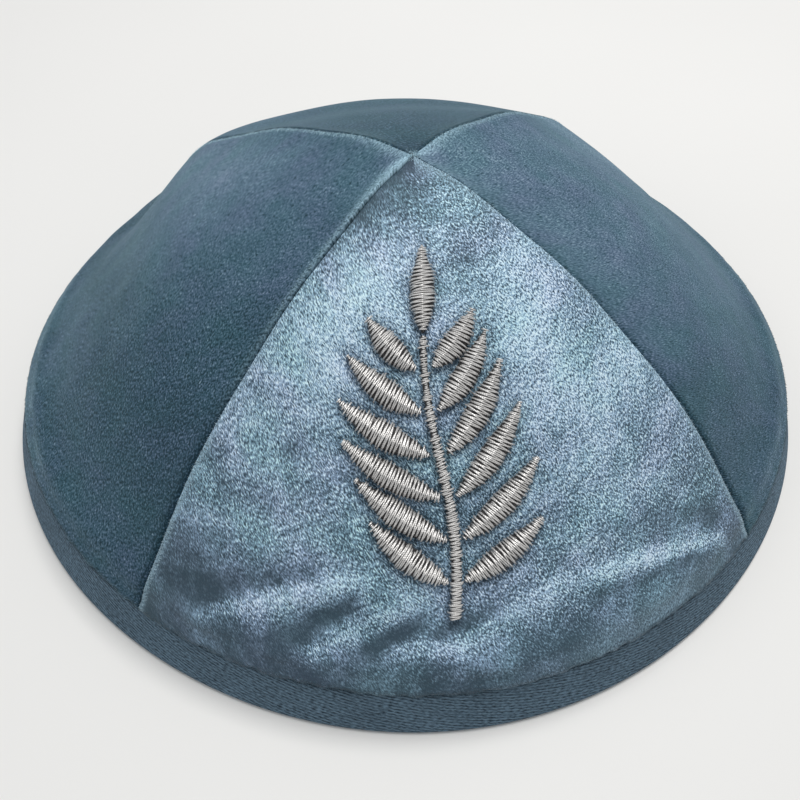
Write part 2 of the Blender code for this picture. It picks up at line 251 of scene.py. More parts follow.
def rim_point(up, inward):
    """A radius and a height on the rim, from lengths up the tape's face and in from it."""
    radius = RIM_RADIUS - up * math.cos(TAPE_LEAN) - inward * math.sin(TAPE_LEAN)
    return radius, up * math.sin(TAPE_LEAN) - inward * math.cos(TAPE_LEAN)


def rim_radius_at(height, inward):
    """The radius on the rim at a height, so far in from the tape's outer face."""
    return RIM_RADIUS - height / math.tan(TAPE_LEAN) - inward / math.sin(TAPE_LEAN)


print("height at the apex:", float(crown_height(np.array(0.0), np.array(0.0))))

# %% [markdown]
# ## The sprig's lines
# The embroidery is a stem with six pairs of leaves and one on top. Every stroke is a centre line
# on the cloth with a width that swells and narrows. We need those lines twice: to lay the threads
# along them, and to press the velvet down round them.

# %% The sprig's sizes
SPRIG_HEIGHT = 0.055
SPRIG_FOOT = 0.0136
SPRIG_SHIFT = -0.0022
STEM_WIDTH = 0.0018
STEM_TAPER = 0.45
STEM_BOW = 0.0012
STEM_END = 0.90
LEAF_PAIRS = 6
LEAF_LENGTH = 0.0200
LEAF_WIDTH = 0.0042
LEAF_BLUNTNESS = 0.06
LEAF_SWELL = 0.85
LOWEST_LEAF = 0.12
HIGHEST_LEAF = 0.80
LONGEST_LEAF_PLACE = 0.35
SHORTEST_LEAF = 0.62
TOP_LEAF = 0.80
LEAF_LEAN = math.radians(64)
LEAF_LEAN_LOSS = math.radians(12)
LEAF_BEND = math.radians(28)
STITCH_EDGE = 0.0004
STITCH_RISE = 0.0007
CLOTH_SAMPLES = 400
LINE_STEP = 0.01


def front_height(x, y):
    """The height of the crown's outer face over points given by x and y."""
    return crown_height(np.hypot(x, y), np.arctan2(y, x))


def front_reaches():
    """Lengths up the front panel's centre from the tape, and the plan radius at each."""
    radii = np.linspace(TAPE_TOP_RADIUS * float(oval(-QUARTER)), 0.0, CLOTH_SAMPLES)
    heights = crown_height(radii, np.full(CLOTH_SAMPLES, -QUARTER))
    steps = np.hypot(np.diff(radii), np.diff(heights))
    return np.concatenate(([0.0], np.cumsum(steps))), radii


FRONT_LENGTHS, FRONT_RADII = front_reaches()


def on_front(across, up, rise):
    """Points over the front panel: across and up are lengths on the cloth, rise is off it."""
    x = across
    y = -np.interp(up, FRONT_LENGTHS, FRONT_RADII)
    step = CLEARANCE
    slope_x = (front_height(x + step, y) - front_height(x - step, y)) / (2 * step)
    slope_y = (front_height(x, y + step) - front_height(x, y - step)) / (2 * step)
    normal = np.stack([-slope_x, -slope_y, np.ones_like(x)], -1)
    normal /= np.linalg.norm(normal, axis=-1, keepdims=True)
    return np.stack([x, y, front_height(x, y)], -1) + np.asarray(rise)[..., None] * normal


print("length of the front gore up its middle:", round(float(FRONT_LENGTHS[-1]), 4))


# %% The stroke of each node of the embroidery
def stem_point(share):
    """Lengths across and up of the stem's line, from its foot 0 to its top 1."""
    across = SPRIG_SHIFT + STEM_BOW * np.sin(2 * math.pi * share)
    return np.stack([across, SPRIG_FOOT + share * SPRIG_HEIGHT], -1)


def stem_lean(share):
    """The angle between the stem and the panel's centre line."""
    run = stem_point(share + LINE_STEP) - stem_point(share - LINE_STEP)
    return np.arctan2(run[..., 0], run[..., 1])


def stem_stroke(share):
    """Place, heading and half width of the stem at shares of its length."""
    width = STEM_WIDTH * (1 - STEM_TAPER * share)
    return stem_point(STEM_END * share), stem_lean(STEM_END * share), width / 2


def leaf_stroke(start, first, last, length):
    """The same for a leaf whose heading turns evenly from its root to its tip."""

    def stroke(share):
        turned = first + (last - first) * share
        mean = (first + turned) / 2
        place = start + (share * length)[:, None] * np.stack([np.sin(mean), np.cos(mean)], -1)
        swell = LEAF_BLUNTNESS + (1 - LEAF_BLUNTNESS) * np.sin(math.pi * share**LEAF_SWELL)
        return place, turned, LEAF_WIDTH * swell / 2

    return stroke


def all_strokes():
    """Node name, stroke and length of every line of the sprig."""
    found = [("embroidery_stem", stem_stroke, SPRIG_HEIGHT * STEM_END)]
    for pair in range(LEAF_PAIRS):
        place = pair / (LEAF_PAIRS - 1)
        root = LOWEST_LEAF + (HIGHEST_LEAF - LOWEST_LEAF) * place
        shortening = (place - LONGEST_LEAF_PLACE) / (1 - LONGEST_LEAF_PLACE)
        length = LEAF_LENGTH * (1 - (1 - SHORTEST_LEAF) * shortening**2)
        lean = LEAF_LEAN - LEAF_LEAN_LOSS * place
        for side, word in ((-1, "left"), (1, "right")):
            start = stem_point(root) + np.array([side * (STEM_WIDTH / 2 + 2 * CLEARANCE), 0.0])
            first = float(stem_lean(root)) + side * lean
            stroke = leaf_stroke(start, first, first - side * LEAF_BEND, length)
            found.append((f"embroidery_leaf_{word}_{pair + 1}", stroke, length))
    top = float(stem_lean(STEM_END))
    start = stem_point(STEM_END) + 2 * CLEARANCE * np.array([math.sin(top), math.cos(top)])
    length = TOP_LEAF * LEAF_LENGTH
    found.append(("embroidery_leaf_top", leaf_stroke(start, top, top, length), length))
    return found


STROKES = all_strokes()
print("strokes in the sprig:", len(STROKES))

# %% [markdown]
# ## Helpers for meshes
# A fine panel starts as a flat slab of square cells from Blender's own grid and extrude operators.
# Its vertices then know their column, row and face by their coordinates, and one array
# calculation moves all of them into place.


# %% Slabs, finished objects and joined copies
TIP_MERGE = 0.01


def slab(columns, rows):
    """A flat closed slab of square cells: x and y count its cells, and z is 0 or 1."""
    half = 0.5
    mesh = bmesh.new()
    bmesh.ops.create_grid(mesh, x_segments=columns, y_segments=rows, size=half)
    bmesh.ops.translate(mesh, vec=(half, half, 0.0), verts=mesh.verts)
    bmesh.ops.scale(mesh, vec=(columns, rows, 1.0), verts=mesh.verts)
    raised = bmesh.ops.extrude_face_region(mesh, geom=mesh.faces[:])
    corners = [item for item in raised["geom"] if isinstance(item, bmesh.types.BMVert)]
    bmesh.ops.translate(mesh, vec=(0.0, 0.0, 1.0), verts=corners)
    return mesh


def corners_of(mesh):
    """The places of a bmesh's vertices as an array."""
    return np.array([corner.co for corner in mesh.verts])


def finished(name, mesh, finish):
    """An object from a bmesh, smooth and with its faces pointing out, that rides on the cap."""
    bmesh.ops.recalc_face_normals(mesh, faces=mesh.faces)
    data = bpy.data.meshes.new(name)
    mesh.to_mesh(data)
    mesh.free()
    return placed(name, data, finish)


def placed(name, data, finish):
    """An object from a finished mesh that rides on the cap."""
    data.shade_smooth()
    data.materials.append(finish)
    made = bpy.data.objects.new(name, data)
    scene.collection.objects.link(made)
    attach(made, "root")
    return made


def move_to(mesh, points):
    """Moves each vertex of a bmesh to its row of an array."""
    for corner, point in zip(mesh.verts, points):
        corner.co = point


def set_value(data, name, values):
    """Writes one number for each vertex as a named attribute that a material can read."""
    attribute = data.attributes.new(name, "FLOAT", "POINT")
    attribute.data.foreach_set("value", np.asarray(values, np.float32).ravel())


def set_lengths(data, lengths, around=0.0):
    """Writes a pair of cloth lengths for each vertex, in metres, as the mesh's UV map. On a ring of
    quads that is so long around, the ones that close it run on past the end."""
    corner = np.empty(len(data.loops), np.int32)
    data.loops.foreach_get("vertex_index", corner)
    spread = np.asarray(lengths, np.float32)[corner]
    if around:
        first = spread.reshape(-1, 4, 2)[..., 0]
        first += around * (first < first.max(axis=1, keepdims=True) - around / 2)
    layer = data.uv_layers.new(name="cloth")
    layer.data.foreach_set("uv", spread.ravel())


def arrays_of(mesh):
    """The vertices and faces of a small bmesh as arrays, with its faces pointing out."""
    bmesh.ops.recalc_face_normals(mesh, faces=mesh.faces)
    mesh.verts.index_update()
    points = corners_of(mesh)
    faces = np.array([[corner.index for corner in face.verts] for face in mesh.faces])
    mesh.free()
    return points, faces


def spike():
    """One tuft of pile: a slim cone with three sides that stands on its base, 1 wide and 1 tall."""
    half = 0.5
    mesh = bmesh.new()
    bmesh.ops.create_cone(mesh, cap_ends=True, segments=3, radius1=half, radius2=0.0, depth=1.0)
    bmesh.ops.remove_doubles(mesh, verts=mesh.verts, dist=TIP_MERGE)
    bmesh.ops.translate(mesh, vec=(0.0, 0.0, half), verts=mesh.verts)
    return arrays_of(mesh)


def copies(name, points, faces, finish):
    """A joined mesh from an array of copies: points has a row of vertices for each copy."""
    count, corners, _ = points.shape
    shifted = faces[None] + (np.arange(count) * corners)[:, None, None]
    data = bpy.data.meshes.new(name)
    data.vertices.add(count * corners)
    data.vertices.foreach_set("co", points.astype(np.float32).ravel())
    data.loops.add(shifted.size)
    data.loops.foreach_set("vertex_index", shifted.astype(np.int32).ravel())
    sides = faces.shape[1]
    data.polygons.add(count * len(faces))
    data.polygons.foreach_set("loop_start", np.arange(count * len(faces), dtype=np.int32) * sides)
    data.update(calc_edges=True)
    return placed(name, data, finish)


SPIKE_POINTS, SPIKE_FACES = spike()
print("a tuft has", len(SPIKE_FACES), "faces")

# %% [markdown]
# ## Finishes
# Velvet is a field of short upright fibres. Seen closely it is made of tiny strokes, light where their
# sides catch the light and dark between them, and whole patches turn lighter or darker with the lay of
# the nap; here that light and dark is painted into the colour, with painted glints where the fibres'
# tips catch the light. One group works out strokes and patches from the cloth's own lengths, so the
# pattern follows the panel. A painted highlight, a paler tone, runs along the seams where the pile
# stands out, and the soft bloom of the whole cloth is the shader's own sheen.


# %% A short way to write nodes
def fill(tree, socket, value):
    """Links an input to another node's output, or gives it a number or a colour of its own."""
    if isinstance(value, bpy.types.NodeSocket):
        tree.links.new(value, socket)
    elif socket.type == "RGBA":
        socket.default_value = (*value, 1.0)
    else:
        socket.default_value = value


def settle(tree, node, inputs=(), **values):
    """Sets a node's properties and inputs by name, with underscores for the spaces."""
    for name, value in values.items():
        if hasattr(node, name):
            setattr(node, name, value)
        else:
            fill(tree, node.inputs[name.replace("_", " ")], value)
    for place, value in dict(inputs).items():
        fill(tree, node.inputs[place], value)
    return node


def add(tree, kind, inputs=(), **values):
    """A new node with its properties and inputs set."""
    return settle(tree, tree.nodes.new(kind), inputs, **values)


def maths(tree, operation, first, second=0.0, clamp=False):
    """A Math node on two numbers or sockets."""
    inputs = {0: first, 1: second}
    return add(tree, "ShaderNodeMath", inputs, operation=operation, use_clamp=clamp).outputs[0]


def mixed(tree, factor, first, second, blend="MIX"):
    """A colour between two colours or sockets."""
    inputs = {0: factor, 6: first, 7: second}
    return add(tree, "ShaderNodeMix", inputs, data_type="RGBA", blend_type=blend).outputs[2]


def group(name, inputs, outputs):
    """An empty node group with named number, colour or vector sockets."""
    tree = bpy.data.node_groups.new(name, "ShaderNodeTree")
    for label, kind, value in inputs:
        socket = tree.interface.new_socket(label, in_out="INPUT", socket_type=f"NodeSocket{kind}")
        if value is not None:
            socket.default_value = value
    for label, kind in outputs:
        tree.interface.new_socket(label, in_out="OUTPUT", socket_type=f"NodeSocket{kind}")
    return tree, tree.nodes.new("NodeGroupInput").outputs, tree.nodes.new("NodeGroupOutput").inputs


print("node helpers are ready")


# %% The pile's strokes and patches
PATCH_SIZE = 0.012
MOTTLES_PER_PATCH = 4.0
FIELD_SHIFT = (0.37, 0.21, 0.0)


def pile_group():
    """Masks of a pile, worked out from its cloth's lengths, slant and sizes."""
    tree, given, wanted = group(
        "pile",
        [("Cloth", "Vector", None), ("Slant", "Float", None), ("Stroke Width", "Float", None),
         ("Stroke Length", "Float", None), ("Patch Size", "Float", PATCH_SIZE)],
        [(label, "Float") for label in ("Strokes", "Painted Glints", "Specks", "Patches", "Mottles", "Tints")],
    )
    turned = add(tree, "ShaderNodeVectorRotate", rotation_type="Z_AXIS", Vector=given["Cloth"],
                 Angle=given["Slant"])
    across = maths(tree, "DIVIDE", 1.0, given["Stroke Width"])
    along = maths(tree, "DIVIDE", 1.0, given["Stroke Length"])
    scale = add(tree, "ShaderNodeCombineXYZ", X=across, Y=along)
    stretched = add(tree, "ShaderNodeVectorMath", {0: turned.outputs[0], 1: scale.outputs[0]},
                    operation="MULTIPLY")
    shifted = add(tree, "ShaderNodeVectorMath", {0: given["Cloth"], 1: FIELD_SHIFT}, operation="ADD")
    size = maths(tree, "DIVIDE", 1.0, given["Patch Size"])
    small = maths(tree, "MULTIPLY", size, MOTTLES_PER_PATCH)
    fields = {
        # name: place, scale, detail
        "fine": (stretched.outputs[0], 0.9, 2.0),
        "coarse": (stretched.outputs[0], 0.55, 1.0),
        "patches": (given["Cloth"], size, 3.0),
        "mottles": (shifted.outputs[0], small, 3.0),
        "tints": (shifted.outputs[0], size, 3.0),
    }
    found = {
        name: add(tree, "ShaderNodeTexNoise", Vector=place, Scale=scale, Detail=detail).outputs[0]
        for name, (place, scale, detail) in fields.items()
    }
    # Glints are painted highlights, where the tips of the fibres catch the light.
    ranges = (
        # output, field, value that gives 0, value that gives 1
        ("Strokes", "fine", 0.30, 0.70),
        ("Painted Glints", "coarse", 0.56, 0.76),
        ("Specks", "coarse", 0.40, 0.26),
        ("Patches", "patches", 0.25, 0.75),
        ("Mottles", "mottles", 0.25, 0.75),
        ("Tints", "tints", 0.36, 0.64),
    )
    for output, field, low, high in ranges:
        spread = add(tree, "ShaderNodeMapRange", Value=found[field], From_Min=low, From_Max=high)
        tree.links.new(spread.outputs[0], wanted[output])
    return tree


PILE = pile_group()
print("group:", PILE.name)


# %% The velvets
MOTTLE_SHARE = 0.7
SPECK_SHARE = 0.5
PRESSED_SHADE = 0.17
PAINTED_HIGHLIGHT_GAIN = 1.6
GLINT_POLISH = 0.15
SHEEN_ROUGHNESS = 0.35


def new_material(name):
    """A material with its node tree and its shader."""
    material = bpy.data.materials.new(name)
    material.use_nodes = True
    return material, material.node_tree, material.node_tree.nodes["Principled BSDF"]


def mixed_in(tree, light, amount, *factors):
    """Adds to a light a share of one mask or of several masks multiplied together."""
    for factor in factors:
        amount = maths(tree, "MULTIPLY", factor, amount)
    return maths(tree, "ADD", light, amount)


def velvet(name, tones, teal, lavender, painted_highlight, contrast, painted_glint_amount, drift, sheen, sheen_tint, gloss,
           roughness, rise, slant, grain, liveliness):
    """Velvet whose tone runs from deep to bright with its nap, strokes and patches; the nap value
    carries the pile's lay together with painted light and shade, the strokes' light and dark and the
    glints are painted, and the seams get a painted highlight. Liveliness says from which nap to which
    the strokes' contrast goes from one share to another."""
    material, tree, shader = new_material(name)
    cloth = add(tree, "ShaderNodeUVMap", uv_map="cloth")
    painted_nap_light, pressed, edge = (
        add(tree, "ShaderNodeAttribute", attribute_name=label).outputs["Fac"]
        for label in ("painted_nap_light", "pressed", "edge")
    )
    pile = add(tree, "ShaderNodeGroup", node_tree=PILE, Cloth=cloth.outputs[0], Slant=slant,
               Stroke_Width=grain[0], Stroke_Length=grain[1])
    strokes, painted_glints, specks, patches, mottles, tints = pile.outputs
    limits = dict(zip(("From Min", "From Max", "To Min", "To Max"), liveliness))
    lively = add(tree, "ShaderNodeMapRange", limits, Value=painted_nap_light).outputs[0]
    centred = [maths(tree, "SUBTRACT", mask, 0.5) for mask in (strokes, patches, mottles)]
    # Painted light and shade of the strokes, where the fibres' sides catch the light and the gaps lie
    # dark.
    light = mixed_in(tree, painted_nap_light, contrast, centred[0], lively)
    # Painted glints: small highlights added to the tone.
    light = mixed_in(tree, light, painted_glint_amount, painted_glints, lively)
    light = mixed_in(tree, light, drift, centred[1])
    light = mixed_in(tree, light, MOTTLE_SHARE * drift, centred[2])
    light = mixed_in(tree, light, -SPECK_SHARE * contrast, specks)
    # Painted shade in the hollow where the stitches press the pile down.
    light = mixed_in(tree, light, -PRESSED_SHADE, pressed)
    ramp = add(tree, "ShaderNodeValToRGB", Fac=light)
    for place, _ in tones[1:-1]:
        ramp.color_ramp.elements.new(place)
    for stop, (_, tone) in zip(ramp.color_ramp.elements, tones):
        stop.color = (*tone, 1.0)
    tinted = mixed(tree, 1.0, ramp.outputs[0], mixed(tree, tints, teal, lavender), "MULTIPLY")
    # Painted highlight: the seams' paler tone, strongest on the light strokes.
    painted_highlight_share = maths(tree, "MULTIPLY", edge, maths(tree, "MULTIPLY", strokes, PAINTED_HIGHLIGHT_GAIN), clamp=True)
    rough = maths(tree, "SUBTRACT", roughness, maths(tree, "MULTIPLY", painted_glints, GLINT_POLISH))
    lift = add(tree, "ShaderNodeBump", Height=strokes, Strength=1.0, Distance=rise)
    settle(tree, shader, Base_Color=mixed(tree, painted_highlight_share, tinted, painted_highlight), Roughness=rough,
           Normal=lift.outputs[0], Sheen_Weight=sheen, Sheen_Roughness=SHEEN_ROUGHNESS,
           Sheen_Tint=sheen_tint, Specular_IOR_Level=gloss)
    return material


# The front gore and the other three are one velvet: the front's much lighter tones and paler highlight
# are painted light, where its nap leans towards the lamps, and the crown's are the shaded copy of the
# same cloth.
VELVET_FRONT = velvet(
    "velvet_front",
    tones=((0.0, (0.040, 0.072, 0.102)), (0.25, (0.102, 0.160, 0.213)), (0.55, (0.245, 0.365, 0.485)),
           (0.80, (0.405, 0.590, 0.775)), (1.0, (0.75, 0.93, 1.00))),
    teal=(0.91, 1.03, 1.00), lavender=(1.03, 0.99, 1.05), painted_highlight=(0.52, 0.77, 0.93),
    contrast=1.70, painted_glint_amount=1.00, drift=0.46, sheen=0.06, sheen_tint=(0.70, 0.90, 1.0), gloss=0.3,
    roughness=0.50, rise=0.00012, slant=math.radians(30), grain=(0.00019, 0.00046),
    liveliness=(0.10, 0.42, 0.22, 0.80),
)
VELVET_CROWN = velvet(
    "velvet_crown",
    tones=((0.0, (0.010, 0.031, 0.046)), (0.30, (0.030, 0.074, 0.106)), (0.60, (0.070, 0.122, 0.180)),
           (0.85, (0.140, 0.215, 0.290)), (1.0, (0.26, 0.36, 0.43))),
    teal=(0.88, 1.03, 0.97), lavender=(1.06, 0.99, 1.05), painted_highlight=(0.38, 0.57, 0.68),
    contrast=0.86, painted_glint_amount=0.18, drift=0.16, sheen=0.50, sheen_tint=(0.55, 0.80, 0.92), gloss=0.2,
    roughness=0.85, rise=0.00006, slant=math.radians(50), grain=(0.00027, 0.00060),
    liveliness=(0.30, 0.58, 1.20, 0.66),
)
print("velvets:", VELVET_FRONT.name, VELVET_CROWN.name)


# %% Thread and tape
THREAD_TWISTS = 1700.0
TWIST_UNEVENNESS = 1.5
TWIST_SHARE = 0.28
TWIST_RELIEF = 0.00003
BAND_PERIOD = 0.314
RIDGE_UNEVENNESS = 2.2
RIDGE_HEIGHT = 0.54
BEAD_SQUASH = (0.80, 1.9, 1.0)
BEAD_HEIGHT = 2.4
TWILL_LEVEL = 0.93
TWILL_RELIEF = 0.00024
WEAR_SCALE = 120.0
WEAR_LEVEL = 0.5


def thread_material(name, dark, light):
    """Twisted rayon thread, whose tint differs a little from stitch to stitch; its twist bands are
    painted light and shade, and its tone also carries painted shade towards the stitches' ends.
    """
    material, tree, shader = new_material(name)
    tone = add(tree, "ShaderNodeAttribute", attribute_name="tone").outputs["Fac"]
    place = add(tree, "ShaderNodeUVMap", uv_map="cloth")
    twist = add(tree, "ShaderNodeTexWave", wave_type="BANDS", bands_direction="DIAGONAL",
                Vector=place.outputs[0], Scale=THREAD_TWISTS, Distortion=TWIST_UNEVENNESS)
    # Painted light and shade of the twist: its bands lighten and darken the thread's tone as well as
    # its bump.
    fleck = maths(tree, "ADD", maths(tree, "MULTIPLY", tone, 1 - TWIST_SHARE),
                  maths(tree, "MULTIPLY", twist.outputs["Fac"], TWIST_SHARE), clamp=True)
    lift = add(tree, "ShaderNodeBump", Height=twist.outputs["Fac"], Strength=0.5, Distance=TWIST_RELIEF)
    settle(tree, shader, Base_Color=mixed(tree, fleck, dark, light), Normal=lift.outputs[0],
           Roughness=0.26, Metallic=0.30, Sheen_Weight=0.15)
    return material


def twill_material(name, dark, light, pitch, slant):
    """Folded tape with fine beaded ridges that run a few degrees off its length; its tone is painted
    lighter on the beads and ridges and darker in the grooves, as their light and shade, and darker
    under the velvet's lip as its shadow.
    """
    material, tree, shader = new_material(name)
    place = add(tree, "ShaderNodeUVMap", uv_map="cloth")
    turned = add(tree, "ShaderNodeVectorRotate", rotation_type="Z_AXIS", Vector=place.outputs[0],
                 Angle=slant)
    ridges = add(tree, "ShaderNodeTexWave", wave_type="BANDS", bands_direction="Y",
                 Vector=turned.outputs[0], Scale=BAND_PERIOD / pitch, Distortion=RIDGE_UNEVENNESS,
                 Detail=2.0, Detail_Scale=3.0)
    squashed = add(tree, "ShaderNodeVectorMath", {0: turned.outputs[0], 1: BEAD_SQUASH},
                   operation="MULTIPLY")
    beads = add(tree, "ShaderNodeTexNoise", Vector=squashed.outputs[0], Scale=1 / pitch, Detail=2.0)
    worn = add(tree, "ShaderNodeTexNoise", Vector=place.outputs[0], Scale=WEAR_SCALE, Detail=3.0)
    height = maths(tree, "ADD", maths(tree, "MULTIPLY", ridges.outputs["Fac"], RIDGE_HEIGHT),
                   maths(tree, "MULTIPLY", beads.outputs[0], BEAD_HEIGHT))
    # Painted light and shade of the weave: the tone follows the relief, light on the raised beads and
    # dark in the grooves.
    tone = maths(tree, "MULTIPLY", maths(tree, "SUBTRACT", height, TWILL_LEVEL),
                 maths(tree, "ADD", worn.outputs[0], WEAR_LEVEL), clamp=True)
    # Painted shadow of the velvet's lip, darkest at the tape's top edge.
    top = add(tree, "ShaderNodeAttribute", attribute_name="top").outputs["Fac"]
    tone = maths(tree, "SUBTRACT", tone, top, clamp=True)
    lift = add(tree, "ShaderNodeBump", Height=height, Strength=1.0, Distance=TWILL_RELIEF)
    settle(tree, shader, Base_Color=mixed(tree, tone, dark, light), Normal=lift.outputs[0],
           Roughness=0.85, Specular_IOR_Level=0.2, Sheen_Weight=0.10, Sheen_Tint=(0.6, 0.8, 0.95))
    return material


THREAD = thread_material("silver_thread", (0.16, 0.152, 0.148), (1.0, 0.98, 0.955))
# The underlay's near-black tones are painted shade, seen in the gaps between the stitches.
SHADE_UNDERLAY = thread_material("stitch_underlay_painted_shade", (0.020, 0.018, 0.018), (0.06, 0.055, 0.055))
TWILL = twill_material("twill_tape", (0.014, 0.030, 0.046), (0.150, 0.240, 0.320), 0.00072,
                       math.radians(12))
print("thread and tape:", THREAD.name, TWILL.name)

# %% [markdown]
# ## The velvet panels
# Each panel could be a plain sheet with a Solidify modifier, but its hollow side must end neatly
# inside the folded tape. So we shape a slab: one face is the outside of the velvet, the other is
# its back, and the last rows slip down between the legs of the tape.

# %% Sizes of the fine panels
PANELS = (
    # name, facing, columns, rows, finish, slot
    ("front", -QUARTER, 190, 200, VELVET_FRONT, "velvet_front"),
    ("right", 0.0, 130, 140, VELVET_CROWN, "velvet_crown"),
    ("back", QUARTER, 110, 120, VELVET_CROWN, "velvet_crown"),
    ("left", math.pi, 130, 140, VELVET_CROWN, "velvet_crown"),
)
# The velvet's lip over the tape: lengths are shares of the velvet's thickness, above the tape's
# top edge, how far it hangs lower in the waves, and out past the tape's face. Inside is a share
# of the inner face's height there.
RIM_LIP = (
    # above, hang, outward, inside
    (0.75, 0.05, 0.06, 1.00),
    (0.48, 0.12, 0.18, 0.98),
    (0.26, 0.20, 0.22, 0.96),
    (0.08, 0.28, 0.18, 0.94),
    (0.02, 0.28, 0.05, 0.92),
    (0.02, 0.00, -0.45, 0.88),
)
# How deep each panel's edge is tucked into its seam, at the apex and at the rim, and between them
# held to LEAST_TUCK and 1. The edge that is tucked less stands proud of its neighbour.
SEAM_EDGES = {
    # panel: (first edge at the apex, at the rim), (last edge at the apex, at the rim)
    "front": ((1.2, -0.4), (0.3, 0.1)),
    "right": ((0.5, 1.2), (0.2, 0.3)),
    "back": ((1.0, 1.0), (1.0, 1.0)),
    "left": ((0.2, 0.3), (0.0, 1.6)),
}
LIP_TURNS = (9, 23, 61, 97, 151)
LIP_UNEVENNESS = 0.80
EDGE_CROWDING = 0.45
LEAST_TUCK = 0.1
SEAM_TUCK = 0.0010
SEAM_REACH = 0.0013
SMALLEST_ROLL = 1e-9
STROKE_SAMPLES = 40
PRESS_DEPTH = 0.00045
PRESS_REACH = 0.0011
LUMP_RISE = 0.00006
LUMP_SEED = 3
LUMP_WAVES = 14
SHORTEST_LUMP = 0.005
LONGEST_LUMP = 0.016
BACK_CALM = 0.3
FOOT_FADE_ROWS = 12
# The painted highlight along the seams: how far it reaches from the edge, and how near the apex it
# grows wider and stronger.
PAINTED_HIGHLIGHT_REACH = 0.0010
APEX_PAINTED_HIGHLIGHT_REACH = 0.012
# How strongly a highlight is painted on a panel's pile along its first seam edge and its last.
PAINTED_EDGE_HIGHLIGHTS = {"front": (0.50, 0.36), "right": (0.25, 0.50), "back": (0.3, 0.3), "left": (0.35, 0.65)}
# A painted highlight, a paler stretch of sheen over the tape: panel, bearing, reach, turn, length,
# width, lighter.
PAINTED_HEM_HIGHLIGHT = ("front", -66.0, 0.975, 24.0, 0.320, 0.035, 0.20)
print("panels:", [panel[0] for panel in PANELS])

# %% The seeded chance, the panel's foot in the tape, its lumps and the sprig's edge
SEED = 7
NO_LENGTH = 1e-12

chance = np.random.default_rng(SEED)


def unit(vectors):
    """Vectors of the same ways with the length 1."""
    return vectors / np.maximum(np.linalg.norm(vectors, axis=-1, keepdims=True), NO_LENGTH)


def rim_rows(wave):
    """Pairs of outer and inner points that take a panel from its crown down into the tape."""
    inner_face = TAPE_COVER + GRIPPED_THICKNESS
    inside_top = TAPE_WIDTH - inner_face / math.tan(TAPE_LEAN)
    rows = []
    for above, hang, outward, inside in RIM_LIP:
        up = TAPE_WIDTH + VELVET_THICKNESS * (above - hang * wave)
        rows.append((rim_point(up, -outward * VELVET_THICKNESS),
                     rim_point(inside * inside_top, inner_face)))
    hem = TAPE_COVER
    rows.append(((rim_radius_at(hem, TAPE_COVER), hem), (rim_radius_at(hem, inner_face), hem)))
    return rows


def lumps(points):
    """Gentle unevenness of soft cloth, from a few seeded waves, about -1 to 1."""
    waves = np.random.default_rng(LUMP_SEED)
    total = np.zeros(points.shape[:-1])
    for _ in range(LUMP_WAVES):
        way = waves.normal(size=3)
        way /= np.linalg.norm(way)
        length = waves.uniform(SHORTEST_LUMP, LONGEST_LUMP)
        total += np.sin(2 * math.pi * (points @ way) / length + waves.uniform(0, 2 * math.pi))
    return total / math.sqrt(LUMP_WAVES)


def stroke_samples():
    """Places along all the strokes of the sprig, and the half width there."""
    shares = np.linspace(0, 1, STROKE_SAMPLES)
    places, widths = [], []
    for _, stroke, _ in STROKES:
        spots, _, width = stroke(shares)
        places.append(on_front(spots[:, 0], spots[:, 1], 0.0))
        widths.append(width)
    return np.concatenate(places), np.concatenate(widths)


def distance_to_sprig(points):
    """How far points on the front panel are from the nearest stitched edge."""
    places, widths = stroke_samples()
    nearest = np.full(len(points), np.inf)
    for place, width in zip(places, widths):
        nearest = np.minimum(nearest, np.linalg.norm(points - place, axis=1) - width)
    return np.maximum(nearest, 0.0)


print("samples of the sprig's lines:", len(stroke_samples()[1]))


